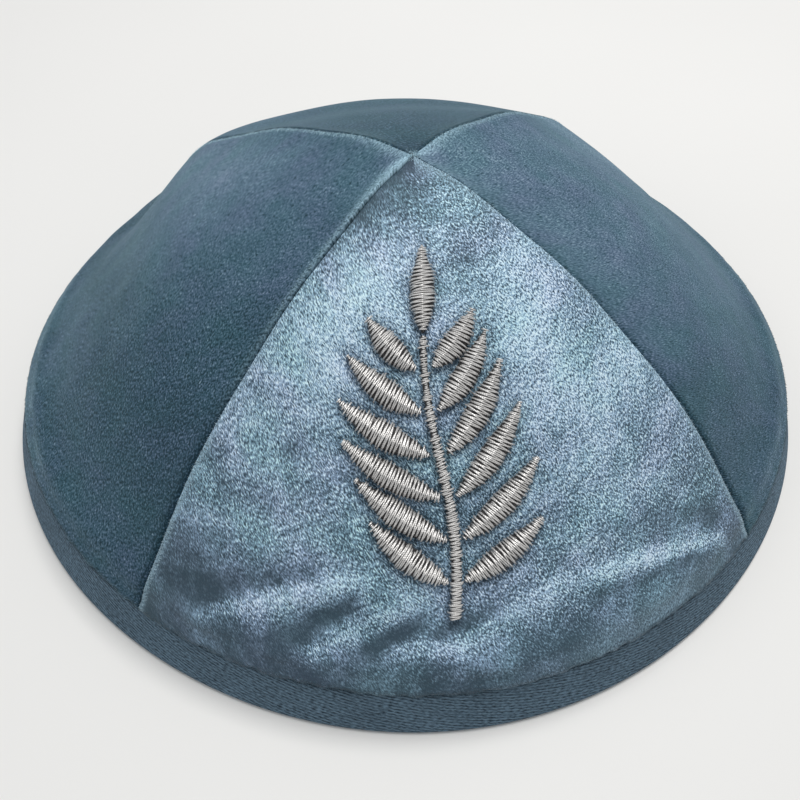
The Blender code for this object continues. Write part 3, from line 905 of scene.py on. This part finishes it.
# %% The two faces of a panel as grids of points
def outer_and_inner(name, facing, columns, rows):
    """The panel's two faces as rows x columns x 3, each point's length from its seam, and how
    deep the seam tucks it in."""
    side = np.linspace(-1, 1, columns + 1)[None, :]
    across = (1 - EDGE_CROWDING) * side + EDGE_CROWDING * np.sin(side * QUARTER)
    tip = CLEARANCE / 2 / math.sin(HALF_PANEL)
    foot = TAPE_TOP_RADIUS - SEAM_ROLL
    down = np.linspace(0, 1, rows + 1)[:, None]
    radius = foot - (foot - tip) * (1 - down) ** ROW_CROWDING
    half_width = radius * half_angle(radius)
    from_seam = half_width * (1 - np.abs(across))
    roll = np.minimum(SEAM_REACH, half_width / 2 + SMALLEST_ROLL)
    near = np.clip(1 - from_seam / roll, 0, 1)
    first, last = (np.clip(top + (foot_tuck - top) * down, LEAST_TUCK, 1)
                   for top, foot_tuck in SEAM_EDGES[name])
    tuck = np.where(side < 0, first, last)
    drop = tuck * SEAM_TUCK * roll / SEAM_REACH * (1 - np.sqrt(1 - near**2))
    faces = []
    for depth in (drop, np.full_like(drop, VELVET_THICKNESS)):
        bearing = facing + across * half_angle(radius)
        inner, height = crown_point(radius * oval(bearing), bearing, depth)
        bearing = facing + across * half_angle(np.maximum(inner, tip))
        faces.append([np.stack([inner * np.cos(bearing), inner * np.sin(bearing), height], -1)])
    bearing = facing + across * HALF_PANEL
    wave = sum(np.sin(turns * bearing + turns) for turns in LIP_TURNS)
    wave *= LIP_UNEVENNESS / math.sqrt(len(LIP_TURNS))
    for pair in rim_rows(np.clip(0.5 + wave, 0, 1)):
        for face, (ring, height) in zip(faces, pair):
            bearing = facing + across * half_angle(np.array(ring))
            reach = ring * oval(bearing)
            level = np.broadcast_to(height, reach.shape)
            face.append(np.stack([reach * np.cos(bearing), reach * np.sin(bearing), level], -1))
    extra = len(RIM_LIP) + 1
    seam, tuck = (np.concatenate([grid, np.repeat(grid[-1:], extra, axis=0)])
                  for grid in (from_seam, tuck))
    return np.concatenate(faces[0]), np.concatenate(faces[1]), seam, tuck


def normals_of(face):
    """Outward unit normals of a grid of points."""
    normal = unit(np.cross(np.gradient(face, axis=0), np.gradient(face, axis=1)))
    middle = normal[normal.shape[0] // 2, normal.shape[1] // 2]
    return normal if middle[2] > 0 else -normal


def cloth_lengths(face):
    """Lengths across from the middle column and down from the apex, as pairs."""
    steps = np.linalg.norm(np.diff(face, axis=1), axis=-1)
    across = np.concatenate([np.zeros((len(face), 1)), np.cumsum(steps, axis=1)], axis=1)
    across -= across[:, [face.shape[1] // 2]]
    steps = np.linalg.norm(np.diff(face, axis=0), axis=-1)
    down = np.concatenate([np.zeros((1, face.shape[1])), np.cumsum(steps, axis=0)])
    return np.stack([across, down], -1)


print("a test face has the shape", outer_and_inner("back", QUARTER, 8, 6)[0].shape)

# %% [markdown]
# The lay of the nap makes light and dark patches that have little to do with the cloth's form, and the
# light and shade that fall on the crown are painted in along with them. A painted mask could hold them,
# but three short tables are easier to change: how light each panel is painted from the apex to the rim,
# broad lays of painted sheen and shade placed and sized as the folds are, and the narrow painted light
# and shade along the creases, each streak between two places on the crown.

# %% The lay of the nap and the painted light and shade
PAINTED_LIGHT_BY_REACH = {
    # panel: (reach, painted light) from the apex to the rim
    "front": ((0.0, 0.22), (0.14, 0.30), (0.24, 0.55), (0.40, 0.61), (0.60, 0.56), (0.74, 0.44),
              (0.88, 0.36), (0.94, 0.22), (1.0, 0.12)),
    "right": ((0.0, 0.66), (0.30, 0.62), (0.60, 0.62), (0.80, 0.56), (1.0, 0.44)),
    "back": ((0.0, 0.20), (0.30, 0.22), (0.60, 0.30), (1.0, 0.40)),
    "left": ((0.0, 0.58), (0.25, 0.50), (0.50, 0.42), (0.75, 0.37), (1.0, 0.40)),
}
PAINTED_NAP_LAYS = (
    # panel, bearing, reach, turn, length, width, lighter
    ("front", -131.0, 0.24, 50.0, 0.120, 0.050, -0.08),
    ("front", -73.0, 0.26, 30.0, 0.090, 0.045, -0.22),
    ("front", -104.0, 0.27, 0.0, 0.080, 0.050, 0.18),
    ("front", -122.0, 0.41, 30.0, 0.140, 0.080, 0.10),
    ("front", -120.0, 0.62, 8.0, 0.050, 0.022, -0.20),
    ("front", -58.0, 0.55, -40.0, 0.250, 0.140, 0.10),
    ("front", -129.0, 0.89, -60.0, 0.120, 0.070, -0.16),
    ("front", -68.0, 0.78, 10.0, 0.260, 0.120, 0.06),
    ("front", -54.0, 0.18, -50.0, 0.120, 0.050, 0.14),
    ("left", 154.0, 0.52, 0.0, 0.240, 0.260, 0.28),
    ("left", -144.0, 0.71, -40.0, 0.400, 0.160, -0.11),
    ("right", 4.0, 0.13, 0.0, 0.200, 0.160, 0.06),
    ("right", -24.0, 0.42, 40.0, 0.300, 0.070, 0.03),
    ("right", -37.0, 0.80, 40.0, 0.300, 0.120, -0.20),
)
PAINTED_CREASE_STREAKS = (
    # panel, bearing and reach of its two ends, width, lighter
    ("front", -127.0, 0.890, -112.0, 0.812, 0.018, -0.12),
    ("front", -126.0, 0.940, -104.0, 0.795, 0.016, 0.22),
    ("front", -117.0, 0.950, -106.5, 0.842, 0.016, -0.22),
    ("front", -110.5, 0.937, -98.5, 0.836, 0.016, 0.20),
    ("front", -103.5, 0.912, -96.5, 0.857, 0.014, -0.20),
    ("front", -99.5, 0.903, -91.0, 0.908, 0.015, 0.20),
    ("front", -94.5, 0.882, -86.0, 0.854, 0.013, -0.24),
    ("front", -90.5, 0.895, -77.5, 0.846, 0.014, 0.14),
    ("front", -76.0, 0.838, -62.0, 0.884, 0.016, 0.16),
    ("front", -62.0, 0.884, -50.0, 0.955, 0.014, 0.28),
    ("front", -67.0, 0.798, -50.0, 0.905, 0.022, -0.20),
    ("front", -72.0, 0.884, -55.0, 0.940, 0.014, -0.20),
)
DARKEST_PAINTED_NAP = 0.08
# Painted light and shade of the folds: ridges lighter and hollows darker.
PAINTED_FOLD_LIGHT_AND_SHADE = 0.14
FOLD_HEIGHT = 0.0005
# Painted shadow along seam edges that are tucked in.
SEAM_SHADE = 0.22
SEAM_SHADE_REACH = 0.0016


def streak_at(x, y, bearing, reach, to_bearing, to_reach, width):
    """A soft stripe over the plan between two places, 1 along its middle."""
    ends = []
    for facing, share in ((math.radians(bearing), reach), (math.radians(to_bearing), to_reach)):
        ends.append(share * TAPE_TOP_RADIUS * np.array([math.cos(facing), math.sin(facing)]))
    run = ends[1] - ends[0]
    share = np.clip(((x - ends[0][0]) * run[0] + (y - ends[0][1]) * run[1]) / (run @ run), 0, 1)
    away = np.hypot(x - ends[0][0] - share * run[0], y - ends[0][1] - share * run[1])
    return np.exp(-((away / (width * RIM_RADIUS)) ** 2))


def painted_nap_light_of(name, points, seam, tuck):
    """The lay of the nap at points of a panel with painted light and shade: the fall of light from the
    apex to the rim, the lays, the creases and folds, and shadow along tucked seams. 0 is darkest and 1
    is lightest.
    """
    x = points[..., 0]
    y = points[..., 1]
    reach = np.hypot(x, y) / (TAPE_TOP_RADIUS * oval(np.arctan2(y, x)))
    light = np.interp(reach, *zip(*PAINTED_LIGHT_BY_REACH[name]))
    for panel, *lay, lighter in PAINTED_NAP_LAYS:
        if panel == name:
            light = light + lighter * bump_at(x, y, *lay)
    for panel, *streak, lighter in PAINTED_CREASE_STREAKS:
        if panel == name:
            light = light + lighter * streak_at(x, y, *streak)
    rise = sum(fold[-1] * RIM_RADIUS * bump_at(x, y, *fold[:-1]) for fold in FOLDS)
    light = light + PAINTED_FOLD_LIGHT_AND_SHADE * np.clip(rise / FOLD_HEIGHT, -1, 1)
    light = light - SEAM_SHADE * tuck * np.exp(-((seam / SEAM_SHADE_REACH) ** 2))
    return np.clip(light, DARKEST_PAINTED_NAP, 1)


print("nap lays:", len(PAINTED_NAP_LAYS))


# %% Make the four panels
def pressed_at(name, outer):
    """How strongly the stitches press the pile down: 1 under them and 0 far off."""
    if name != "front":
        return np.zeros(outer.shape[:2])
    gap = distance_to_sprig(outer.reshape(-1, 3)).reshape(outer.shape[:2])
    return np.exp(-((gap / PRESS_REACH) ** 2))


def relief_of(name, outer, seam, rows, pressed):
    """How far the pile's face lies off the panel's plain form."""
    free = np.ones(len(outer))
    free[rows:] = 0.0
    free = np.minimum(free, np.linspace(rows / FOOT_FADE_ROWS, 0, len(outer)))[:, None]
    calm = BACK_CALM if name == "back" else 1.0
    relief = calm * free * LUMP_RISE * lumps(outer) * np.minimum(seam / SEAM_REACH, 1)
    return relief - PRESS_DEPTH * pressed


def painted_highlight_of(name, outer, seam, tuck, columns):
    """How strongly a highlight is painted along the panel's seams, most of all close to the apex, and
    on the hem's paler stretch.
    """
    near = np.exp(-(np.hypot(outer[..., 0], outer[..., 1]) / APEX_PAINTED_HIGHLIGHT_REACH) ** 2)
    painted_highlight = np.exp(-((seam / PAINTED_HIGHLIGHT_REACH / (1 + near)) ** 2)) * (1 - tuck)
    painted_highlight *= np.where(np.arange(columns + 1) < columns / 2, *PAINTED_EDGE_HIGHLIGHTS[name]) * (1 + near)
    panel, *lay, strength = PAINTED_HEM_HIGHLIGHT
    if panel == name:
        painted_highlight = painted_highlight + strength * bump_at(outer[..., 0], outer[..., 1], *lay)
    return painted_highlight


def add_panel(name, facing, columns, rows, finish, slot):
    """One velvet panel; its pile's face is returned, because the tufts grow on it."""
    outer, inner, seam, tuck = outer_and_inner(name, facing, columns, rows)
    pressed = pressed_at(name, outer)
    normal = normals_of(outer)
    outer = outer + relief_of(name, outer, seam, rows, pressed)[..., None] * normal
    mesh = slab(columns, len(outer) - 1)
    counts = corners_of(mesh)
    column = np.rint(counts[:, 0]).astype(int)
    row = np.rint(counts[:, 1]).astype(int)
    inside = (counts[:, 2] > 0.5)[:, None]
    move_to(mesh, np.where(inside, inner[row, column], outer[row, column]))
    made = finished(f"velvet_{name}", mesh, finish)
    set_lengths(made.data, cloth_lengths(outer)[row, column])
    # The nap's lay together with painted light and shade.
    set_value(made.data, "painted_nap_light", painted_nap_light_of(name, outer, seam, tuck)[row, column])
    set_value(made.data, "pressed", pressed[row, column])
    # The 'edge' attribute holds the strength of the painted highlight along the seams and the hem.
    set_value(made.data, "edge", painted_highlight_of(name, outer, seam, tuck, columns)[row, column])
    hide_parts(f"{name}_panel")
    print(made.name, "triangles:", sum(len(face.vertices) - 2 for face in made.data.polygons))
    return outer, normal, seam, tuck


SHAPES = {panel[0]: add_panel(*panel) for panel in PANELS}

# %% [markdown]
# ## Tufts along the seams and the rim
# Where velvet is cut, folded and sewn, its pile stands out sideways and catches the light. Those tufts
# are what makes a seam look soft, and a bump can't show them against the next panel, so they are real
# spikes, a few thousand along each edge. Their pale tones are a painted highlight of that light, and
# along the rim they are painted dark, as shade under the velvet's lip.

# %% Sizes of the tufts
TUFT_LENGTH = 0.0006
TUFT_WIDTH = 0.00011
TUFTS_PER_METRE = 17000
TUFT_BAND = 0.0010
TUFT_BAND_START = 0.15
TUFT_SINK = 0.05
TUFT_HEIGHTS = (0.6, 1.2)
TUFT_TONES = (0.3, 1.0)
TUCK_THINNING = 1.6
SHORT_NEAR_APEX = 0.004
SHORTEST_TUFT = 0.35
SEAM_LEAN_UP = 0.20
SEAM_LEAN_OUT = 0.90
SEAM_LEAN_ALONG = 0.20
SEAM_DISORDER = 0.16
RIM_TUFT_LENGTH = 0.00040
# Rim tufts stay near the dark end, painted shade under the velvet's lip.
RIM_TUFT_TONE = 0.12
RIM_TUFT_ROWS = 3
RIM_LEAN_UP = 0.30
RIM_LEAN_DOWN = 0.90
RIM_DISORDER = 0.20
APEX_TUFTS = 160
APEX_SPREAD = 0.0018
APEX_HEIGHTS = (1.2, 2.0)
# Apex tufts are near the pale end, a painted highlight.
APEX_TONES = (0.6, 1.0)
APEX_LEAN_UP = 0.6
APEX_DISORDER = 0.35
APEX_SINK = 0.0001


def add_spikes(name, roots, ways, lengths, widths, tones, finish):
    """Joined tufts from arrays of roots, directions, lengths and widths."""
    side = unit(np.cross(ways, np.array([0.31, 0.17, 0.94])))
    other = np.cross(ways, side)
    shape = (
        roots[:, None]
        + SPIKE_POINTS[None, :, :1] * widths[:, None, None] * side[:, None]
        + SPIKE_POINTS[None, :, 1:2] * widths[:, None, None] * other[:, None]
        + SPIKE_POINTS[None, :, 2:] * lengths[:, None, None] * ways[:, None]
    )
    made = copies(name, shape, SPIKE_FACES, finish)
    set_value(made.data, "tone", np.repeat(tones, len(SPIKE_POINTS)))
    return made


def tuft_material(name, dark, light):
    """Matt pile, from dark to light with each tuft's tone; the pale tones are a painted highlight."""
    material, tree, shader = new_material(name)
    tone = add(tree, "ShaderNodeAttribute", attribute_name="tone").outputs["Fac"]
    settle(tree, shader, Base_Color=mixed(tree, tone, dark, light), Roughness=0.6,
           Specular_IOR_Level=0.1)
    return material


# The light ends of these colours are painted highlight, the pile catching the light at the cut edges.
TUFTS_FRONT = tuft_material("tufts_front", (0.06, 0.11, 0.15), (0.66, 0.88, 1.00))
TUFTS_CROWN = tuft_material("tufts_crown", (0.03, 0.06, 0.08), (0.56, 0.80, 0.92))


def places_along(edge):
    """Random places on a line of points, as point numbers with a fraction, and its lengths."""
    steps = np.linalg.norm(np.diff(edge, axis=0), axis=1)
    lengths = np.concatenate([[0.0], np.cumsum(steps)])
    count = int(TUFTS_PER_METRE * lengths[-1])
    return np.interp(chance.uniform(0, lengths[-1], count), lengths, np.arange(len(edge))), lengths


def seam_tufts(face, normal, seam, tuck, at_end):
    """Tufts along one seam edge of a panel, the first column or the last."""
    if at_end:
        face, normal, seam, tuck = (grid[:, ::-1] for grid in (face, normal, seam, tuck))
    edge = face[:-3, 0]
    rows, lengths = places_along(edge)
    rows = rows[chance.uniform(0, 1, len(rows)) > TUCK_THINNING * tuck[rows.astype(int), 0]]
    count = len(rows)
    low = np.minimum(rows.astype(int), len(edge) - 2)
    part = (rows - low)[:, None]
    inward = (TUFT_BAND_START + (1 - TUFT_BAND_START) * chance.uniform(0, 1, count)) * TUFT_BAND
    column = [np.searchsorted(seam[row], reach) for row, reach in zip(low, inward)]
    column = np.minimum(np.array(column, int), face.shape[1] // 2)
    roots = face[low, column] * (1 - part) + face[low + 1, column] * part
    up = normal[low, column + 1]
    outward = unit(face[low, column] - face[low, column + 3])
    along = unit(face[low + 1, column] - face[low, column])
    lean = SEAM_LEAN_UP * up + SEAM_LEAN_OUT * outward + SEAM_LEAN_ALONG * along
    ways = unit(lean + SEAM_DISORDER * chance.normal(size=(count, 3)))
    small = np.clip(lengths[low] / SHORT_NEAR_APEX, SHORTEST_TUFT, 1.0)
    tall = TUFT_LENGTH * small * chance.uniform(*TUFT_HEIGHTS, count)
    return roots - TUFT_SINK * TUFT_LENGTH * up, ways, tall, chance.uniform(*TUFT_TONES, count)


def rim_tufts(face, normal, rows):
    """Tufts along the foot of a panel, where its pile brushes the tape's top edge."""
    foot = rows + len(RIM_LIP) - 1
    edge = face[foot]
    columns, _ = places_along(edge)
    count = len(columns)
    low = np.minimum(columns.astype(int), len(edge) - 2)
    part = (columns - low)[:, None]
    row = foot - 1 - chance.integers(0, RIM_TUFT_ROWS, count)
    share = chance.uniform(0, 1, (count, 1))
    higher = face[row, low] * (1 - part) + face[row, low + 1] * part
    lower = face[row + 1, low] * (1 - part) + face[row + 1, low + 1] * part
    up = normal[rows, low]
    down = unit(face[foot, low] - face[rows, low])
    ways = unit(RIM_LEAN_UP * up + RIM_LEAN_DOWN * down + RIM_DISORDER * chance.normal(size=(count, 3)))
    tall = RIM_TUFT_LENGTH * chance.uniform(*TUFT_HEIGHTS, count)
    tones = RIM_TUFT_TONE * chance.uniform(0, 1, count)
    return higher * (1 - share) + lower * share, ways, tall, tones


def apex_tufts():
    """A little fringe of pale tufts where the four gores are gathered together."""
    bearing = chance.uniform(-math.pi, math.pi, APEX_TUFTS)
    radius = APEX_SPREAD * chance.uniform(0.3, 1.0, APEX_TUFTS)
    height = crown_height(radius, bearing)
    roots = np.stack([radius * np.cos(bearing), radius * np.sin(bearing), height], -1)
    roots[:, 2] -= APEX_SINK
    lean = np.stack([-np.cos(bearing), -np.sin(bearing), np.full(APEX_TUFTS, APEX_LEAN_UP)], -1)
    ways = unit(lean + APEX_DISORDER * chance.normal(size=(APEX_TUFTS, 3)))
    tall = TUFT_LENGTH * chance.uniform(*APEX_HEIGHTS, APEX_TUFTS)
    return roots, ways, tall, chance.uniform(*APEX_TONES, APEX_TUFTS)


for name, _, _, rows, _, slot in PANELS:
    face, normal, seam, tuck = SHAPES[name]
    groups = [seam_tufts(face, normal, seam, tuck, at_end) for at_end in (False, True)]
    groups.append(rim_tufts(face, normal, rows))
    if name == "left":
        groups.append(apex_tufts())
    roots, ways, tall, tones = (np.concatenate(parts) for parts in zip(*groups))
    finish = TUFTS_FRONT if name == "front" else TUFTS_CROWN
    widths = np.full(len(roots), TUFT_WIDTH)
    made = add_spikes(f"tufts_{name}", roots, ways, tall, widths, tones, finish)
    print(made.name, "tufts:", len(roots))

# %% [markdown]
# ## The binding tape
# The tape is a strip of twill folded round the raw edge of the velvet. We draw its folded outline
# once, round its corners with many short steps, and spin it right round; the oval comes last.

# %% The fine tape
TAPE_TURNS = 720
TAPE_CORNER = 0.00045
TAPE_FOLD = 0.0016
TAPE_STEP = 0.0007
# Painted shadow under the velvet's lip: how dark at the tape's top edge, and how far down it reaches.
TOP_SHADE = 1.0
TOP_SHADE_REACH = 0.0011


def rounded(rows, pieces=4):
    """A closed outline with each corner cut back and rounded, as a list of points."""
    found = []
    count = len(rows)
    for place, (*corner, radius) in enumerate(rows):
        corner = Vector(corner)
        before = Vector(rows[place - 1][:2]) - corner
        after = Vector(rows[(place + 1) % count][:2]) - corner
        cut = min(radius, before.length / 2, after.length / 2)
        start = corner + before.normalized() * cut
        end = corner + after.normalized() * cut
        for step in range(pieces + 1):
            share = step / pieces
            found.append(start.lerp(corner, share).lerp(corner.lerp(end, share), share))
    return found


def tape_outline():
    """The folded tape's section as inward and height lengths, rounded and finely stepped."""
    inner_face = TAPE_COVER + GRIPPED_THICKNESS + CLEARANCE
    back = inner_face + TAPE_THICKNESS
    inside_top = TAPE_TOP_HEIGHT * TAPE_INSIDE_SHARE
    rows = (
        # inward, height, cut of the corner
        (0.0, TAPE_TOP_HEIGHT, TAPE_CORNER),
        (TAPE_THICKNESS, TAPE_TOP_HEIGHT, TAPE_CORNER),
        (TAPE_THICKNESS, TAPE_THICKNESS, TAPE_CORNER),
        (inner_face, TAPE_THICKNESS, TAPE_CORNER),
        (inner_face, inside_top, TAPE_CORNER),
        (back, inside_top, TAPE_CORNER),
        (back, 0.0, TAPE_FOLD),
        (0.0, 0.0, TAPE_FOLD),
    )
    corners = rounded(rows)
    fine = []
    for place, point in enumerate(corners):
        run = corners[(place + 1) % len(corners)] - point
        pieces = max(1, round(run.length / TAPE_STEP))
        fine.extend(point + run * step / pieces for step in range(pieces))
    return [(rim_radius_at(point.y, point.x), point.y) for point in fine]


def add_tape():
    """The folded tape, whose cloth lengths run along the rim and up from the floor."""
    mesh = bmesh.new()
    section = tape_outline()
    corners = [mesh.verts.new((radius, 0.0, height)) for radius, height in section]
    edges = [mesh.edges.new((corner, corners[place - 1])) for place, corner in enumerate(corners)]
    bmesh.ops.spin(mesh, geom=corners + edges, cent=(0, 0, 0), axis=(0, 0, 1), angle=2 * math.pi,
                   steps=TAPE_TURNS, use_merge=True)
    places = corners_of(mesh)
    bearing = np.arctan2(places[:, 1], places[:, 0])
    places[:, :2] *= oval(bearing)[:, None]
    move_to(mesh, places)
    made = finished("binding_tape", mesh, TWILL)
    up = places[:, 2] / math.sin(TAPE_LEAN)
    set_lengths(made.data, np.stack([bearing * RIM_RADIUS, up], -1), 2 * math.pi * RIM_RADIUS)
    # Painted shadow under the velvet's lip, in the 'top' attribute.
    set_value(made.data, "top", TOP_SHADE * np.clip(1 - (TAPE_WIDTH - up) / TOP_SHADE_REACH, 0, 1))
    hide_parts("rim_tape")
    return made


tape = add_tape()
print("tape faces:", len(tape.data.polygons))

# %% [markdown]
# ## Satin stitch
# Satin stitch is many parallel threads laid side by side across a stroke, over an underlay that
# makes it swell. Each stitch here is a thin tube that rises from the cloth, arches over the
# underlay and dives in again, a little uneven as real stitches are.

# %% Lay the stitches
THREAD_RADIUS = 0.00015
THREAD_PITCH = 0.00034
THREAD_RINGS = 12
THREAD_SIDES = 5
STITCH_SLANT = 0.12
STITCH_ZIGZAG = 0.10
STITCH_DIVE = 0.0005
STITCH_TONES = (0.7, 1.0)
DIVE_START = 0.75
ARCH_SHARE = 0.97
PITCH_JITTER = 0.12
SLANT_JITTER = 0.05
RISE_JITTER = 0.00005
END_JITTER = 0.00022
# Painted shade: how much darker each stitch turns towards its ends, and from where.
END_SHADE = 0.6
END_SHADE_START = 0.55
STROKE_MARGIN = 0.001
UNDERLAY_ROWS = 24
UNDERLAY_COLUMNS = 8
UNDERLAY_SINK = 0.9
UNDERLAY_TONE = 0.4


def tube():
    """A straight thread along x from -1 to 1, one ring of corners at each step."""
    mesh = bmesh.new()
    bmesh.ops.create_circle(mesh, cap_ends=True, segments=THREAD_SIDES, radius=1.0)
    bmesh.ops.rotate(mesh, matrix=Matrix.Rotation(QUARTER, 3, "Y"), verts=mesh.verts)
    bmesh.ops.translate(mesh, vec=(-1.0, 0.0, 0.0), verts=mesh.verts)
    face = mesh.faces[:]
    for ring in range(THREAD_RINGS):
        raised = bmesh.ops.extrude_face_region(mesh, geom=face, use_keep_orig=ring == 0)
        corners = [item for item in raised["geom"] if isinstance(item, bmesh.types.BMVert)]
        face = [item for item in raised["geom"] if isinstance(item, bmesh.types.BMFace)]
        bmesh.ops.translate(mesh, vec=(2.0 / THREAD_RINGS, 0.0, 0.0), verts=corners)
    bmesh.ops.triangulate(mesh, faces=mesh.faces)
    return arrays_of(mesh)


TUBE_POINTS, TUBE_FACES = tube()
print("a stitch has", len(TUBE_FACES), "triangles")


def stitch_arch(side, swell):
    """Height of the stitched surface over the cloth at a place across the stroke, -1 to 1."""
    return CLEARANCE + STITCH_EDGE + STITCH_RISE * swell * np.sqrt(np.maximum(1 - side**2, 0))


def add_stitches(node, stroke, length):
    """The satin stitches of one stroke as one mesh, and how many triangles they have."""
    count = max(3, round(length / THREAD_PITCH))
    shares = (np.arange(count) + 0.5) / count
    shares = shares + chance.normal(0, PITCH_JITTER / count, count)
    shares = np.clip(shares, STROKE_MARGIN, 1 - STROKE_MARGIN)
    place, turned, half = stroke(shares)
    swell = half / (LEAF_WIDTH / 2)
    slant = STITCH_SLANT + chance.normal(0, SLANT_JITTER, count)
    slant += STITCH_ZIGZAG * (-1) ** np.arange(count)
    along = np.stack([np.sin(turned), np.cos(turned)], -1)
    sideways = np.stack([np.cos(turned), -np.sin(turned)], -1)
    uneven = chance.normal(0, END_JITTER, count).clip(-2 * END_JITTER, 2 * END_JITTER)
    reach = half + THREAD_RADIUS + uneven
    side = TUBE_POINTS[None, :, 0]
    beside = TUBE_POINTS[None, :, 1] * THREAD_RADIUS
    above = TUBE_POINTS[None, :, 2] * THREAD_RADIUS
    run = reach[:, None] * side
    spot = (
        place[:, None]
        + run[..., None] * sideways[:, None]
        + (run * slant[:, None] + beside)[..., None] * along[:, None]
    )
    fall = np.clip((np.abs(side) - DIVE_START) / (1 - DIVE_START), 0, 1) ** 2 * STITCH_DIVE
    rise = stitch_arch(side * ARCH_SHARE, swell[:, None]) - fall + above
    rise = rise + chance.normal(0, RISE_JITTER, count)[:, None]
    points = on_front(spot[..., 0], spot[..., 1], rise)
    made = copies(node.replace("embroidery", "stitches"), points, TUBE_FACES, THREAD)
    # Painted shade towards each stitch's ends, where it dives into the pile.
    ends = 1 - END_SHADE * np.clip((np.abs(side) - END_SHADE_START) / (1 - END_SHADE_START), 0, 1)
    set_value(made.data, "tone", chance.uniform(*STITCH_TONES, count)[:, None] * ends)
    lengths = np.stack([run + place[:, :1], np.broadcast_to(beside, run.shape) + shares[:, None]], -1)
    set_lengths(made.data, lengths.reshape(-1, 2))
    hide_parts(node)
    return len(TUBE_FACES) * count


def add_underlay(node, stroke):
    """The padding under one stroke's stitches, painted near black as the shade in the gaps between the
    threads.
    """
    mesh = slab(UNDERLAY_COLUMNS, UNDERLAY_ROWS)
    counts = corners_of(mesh)
    side = 2 * counts[:, 0] / UNDERLAY_COLUMNS - 1
    share = np.clip(counts[:, 1] / UNDERLAY_ROWS, STROKE_MARGIN, 1 - STROKE_MARGIN)
    place, turned, half = stroke(share)
    sideways = np.stack([np.cos(turned), -np.sin(turned)], -1)
    spot = place + (side * half)[:, None] * sideways
    top = stitch_arch(side, half / (LEAF_WIDTH / 2)) - UNDERLAY_SINK * THREAD_RADIUS
    rise = np.where(counts[:, 2] > 0.5, top, -STITCH_DIVE)
    move_to(mesh, on_front(spot[:, 0], spot[:, 1], rise))
    made = finished(node.replace("embroidery", "underlay"), mesh, SHADE_UNDERLAY)
    set_value(made.data, "tone", np.full(len(counts), UNDERLAY_TONE))
    set_lengths(made.data, spot)


total = 0
for node, stroke, length in STROKES:
    total += add_stitches(node, stroke, length)
    add_underlay(node, stroke)
print("triangles in the stitches:", total)

# %% [markdown]
# ## Floor and light
# A single lamp would leave velvet either flat or black. Three soft panels, one overhead, one from
# behind and a weak one from the left, with a pale world round them, let the nap glow where it leans
# towards the light and keep the shadow under the rim gentle on a plain pale floor.

# %% Floor, lights and world
FLOOR_SIZE = 3.0
FLOOR_TONES = ((0.805, 0.795, 0.775), (0.845, 0.835, 0.815))
LIGHTS = (
    # name, place, size, watts, colour
    ("overhead", (0.10, 0.06, 0.90), 0.40, 2.7, (1.0, 0.99, 0.97)),
    ("from_left", (-0.80, -0.10, 0.55), 0.60, 0.8, (0.95, 0.98, 1.0)),
    ("from_behind", (0.22, 0.34, 0.86), 0.28, 3.3, (1.0, 0.995, 0.98)),
)
WORLD_COLOUR = (0.93, 0.96, 1.0)
WORLD_STRENGTH = 0.40


def add_floor():
    """A wide flat floor that isn't part of the cap."""
    mesh = bmesh.new()
    bmesh.ops.create_grid(mesh, x_segments=1, y_segments=1, size=FLOOR_SIZE / 2)
    data = bpy.data.meshes.new("floor")
    mesh.to_mesh(data)
    mesh.free()
    material, tree, shader = new_material("floor_white")
    place = add(tree, "ShaderNodeTexCoord").outputs["Object"]
    grain = add(tree, "ShaderNodeTexNoise", Vector=place, Scale=8.0, Detail=2.0)
    settle(tree, shader, Base_Color=mixed(tree, grain.outputs[0], *FLOOR_TONES), Roughness=0.6)
    data.materials.append(material)
    floor = bpy.data.objects.new("floor", data)
    scene.collection.objects.link(floor)


def add_lights():
    """Square soft lights that all aim at the middle of the rim, and the world's even light."""
    for name, place, size, watts, colour in LIGHTS:
        lamp = bpy.data.lights.new(name, "AREA")
        lamp.size = size
        lamp.energy = watts
        lamp.color = colour
        holder = bpy.data.objects.new(name, lamp)
        holder.location = place
        aim = -Vector(place)
        holder.rotation_mode = "QUATERNION"
        holder.rotation_quaternion = aim.to_track_quat("-Z", "Y")
        scene.collection.objects.link(holder)
    world = bpy.data.worlds.new("studio")
    world.use_nodes = True
    tree = world.node_tree
    settle(tree, tree.nodes["Background"], Color=WORLD_COLOUR, Strength=WORLD_STRENGTH)
    scene.world = world


add_floor()
add_lights()
print("lights:", len(LIGHTS))
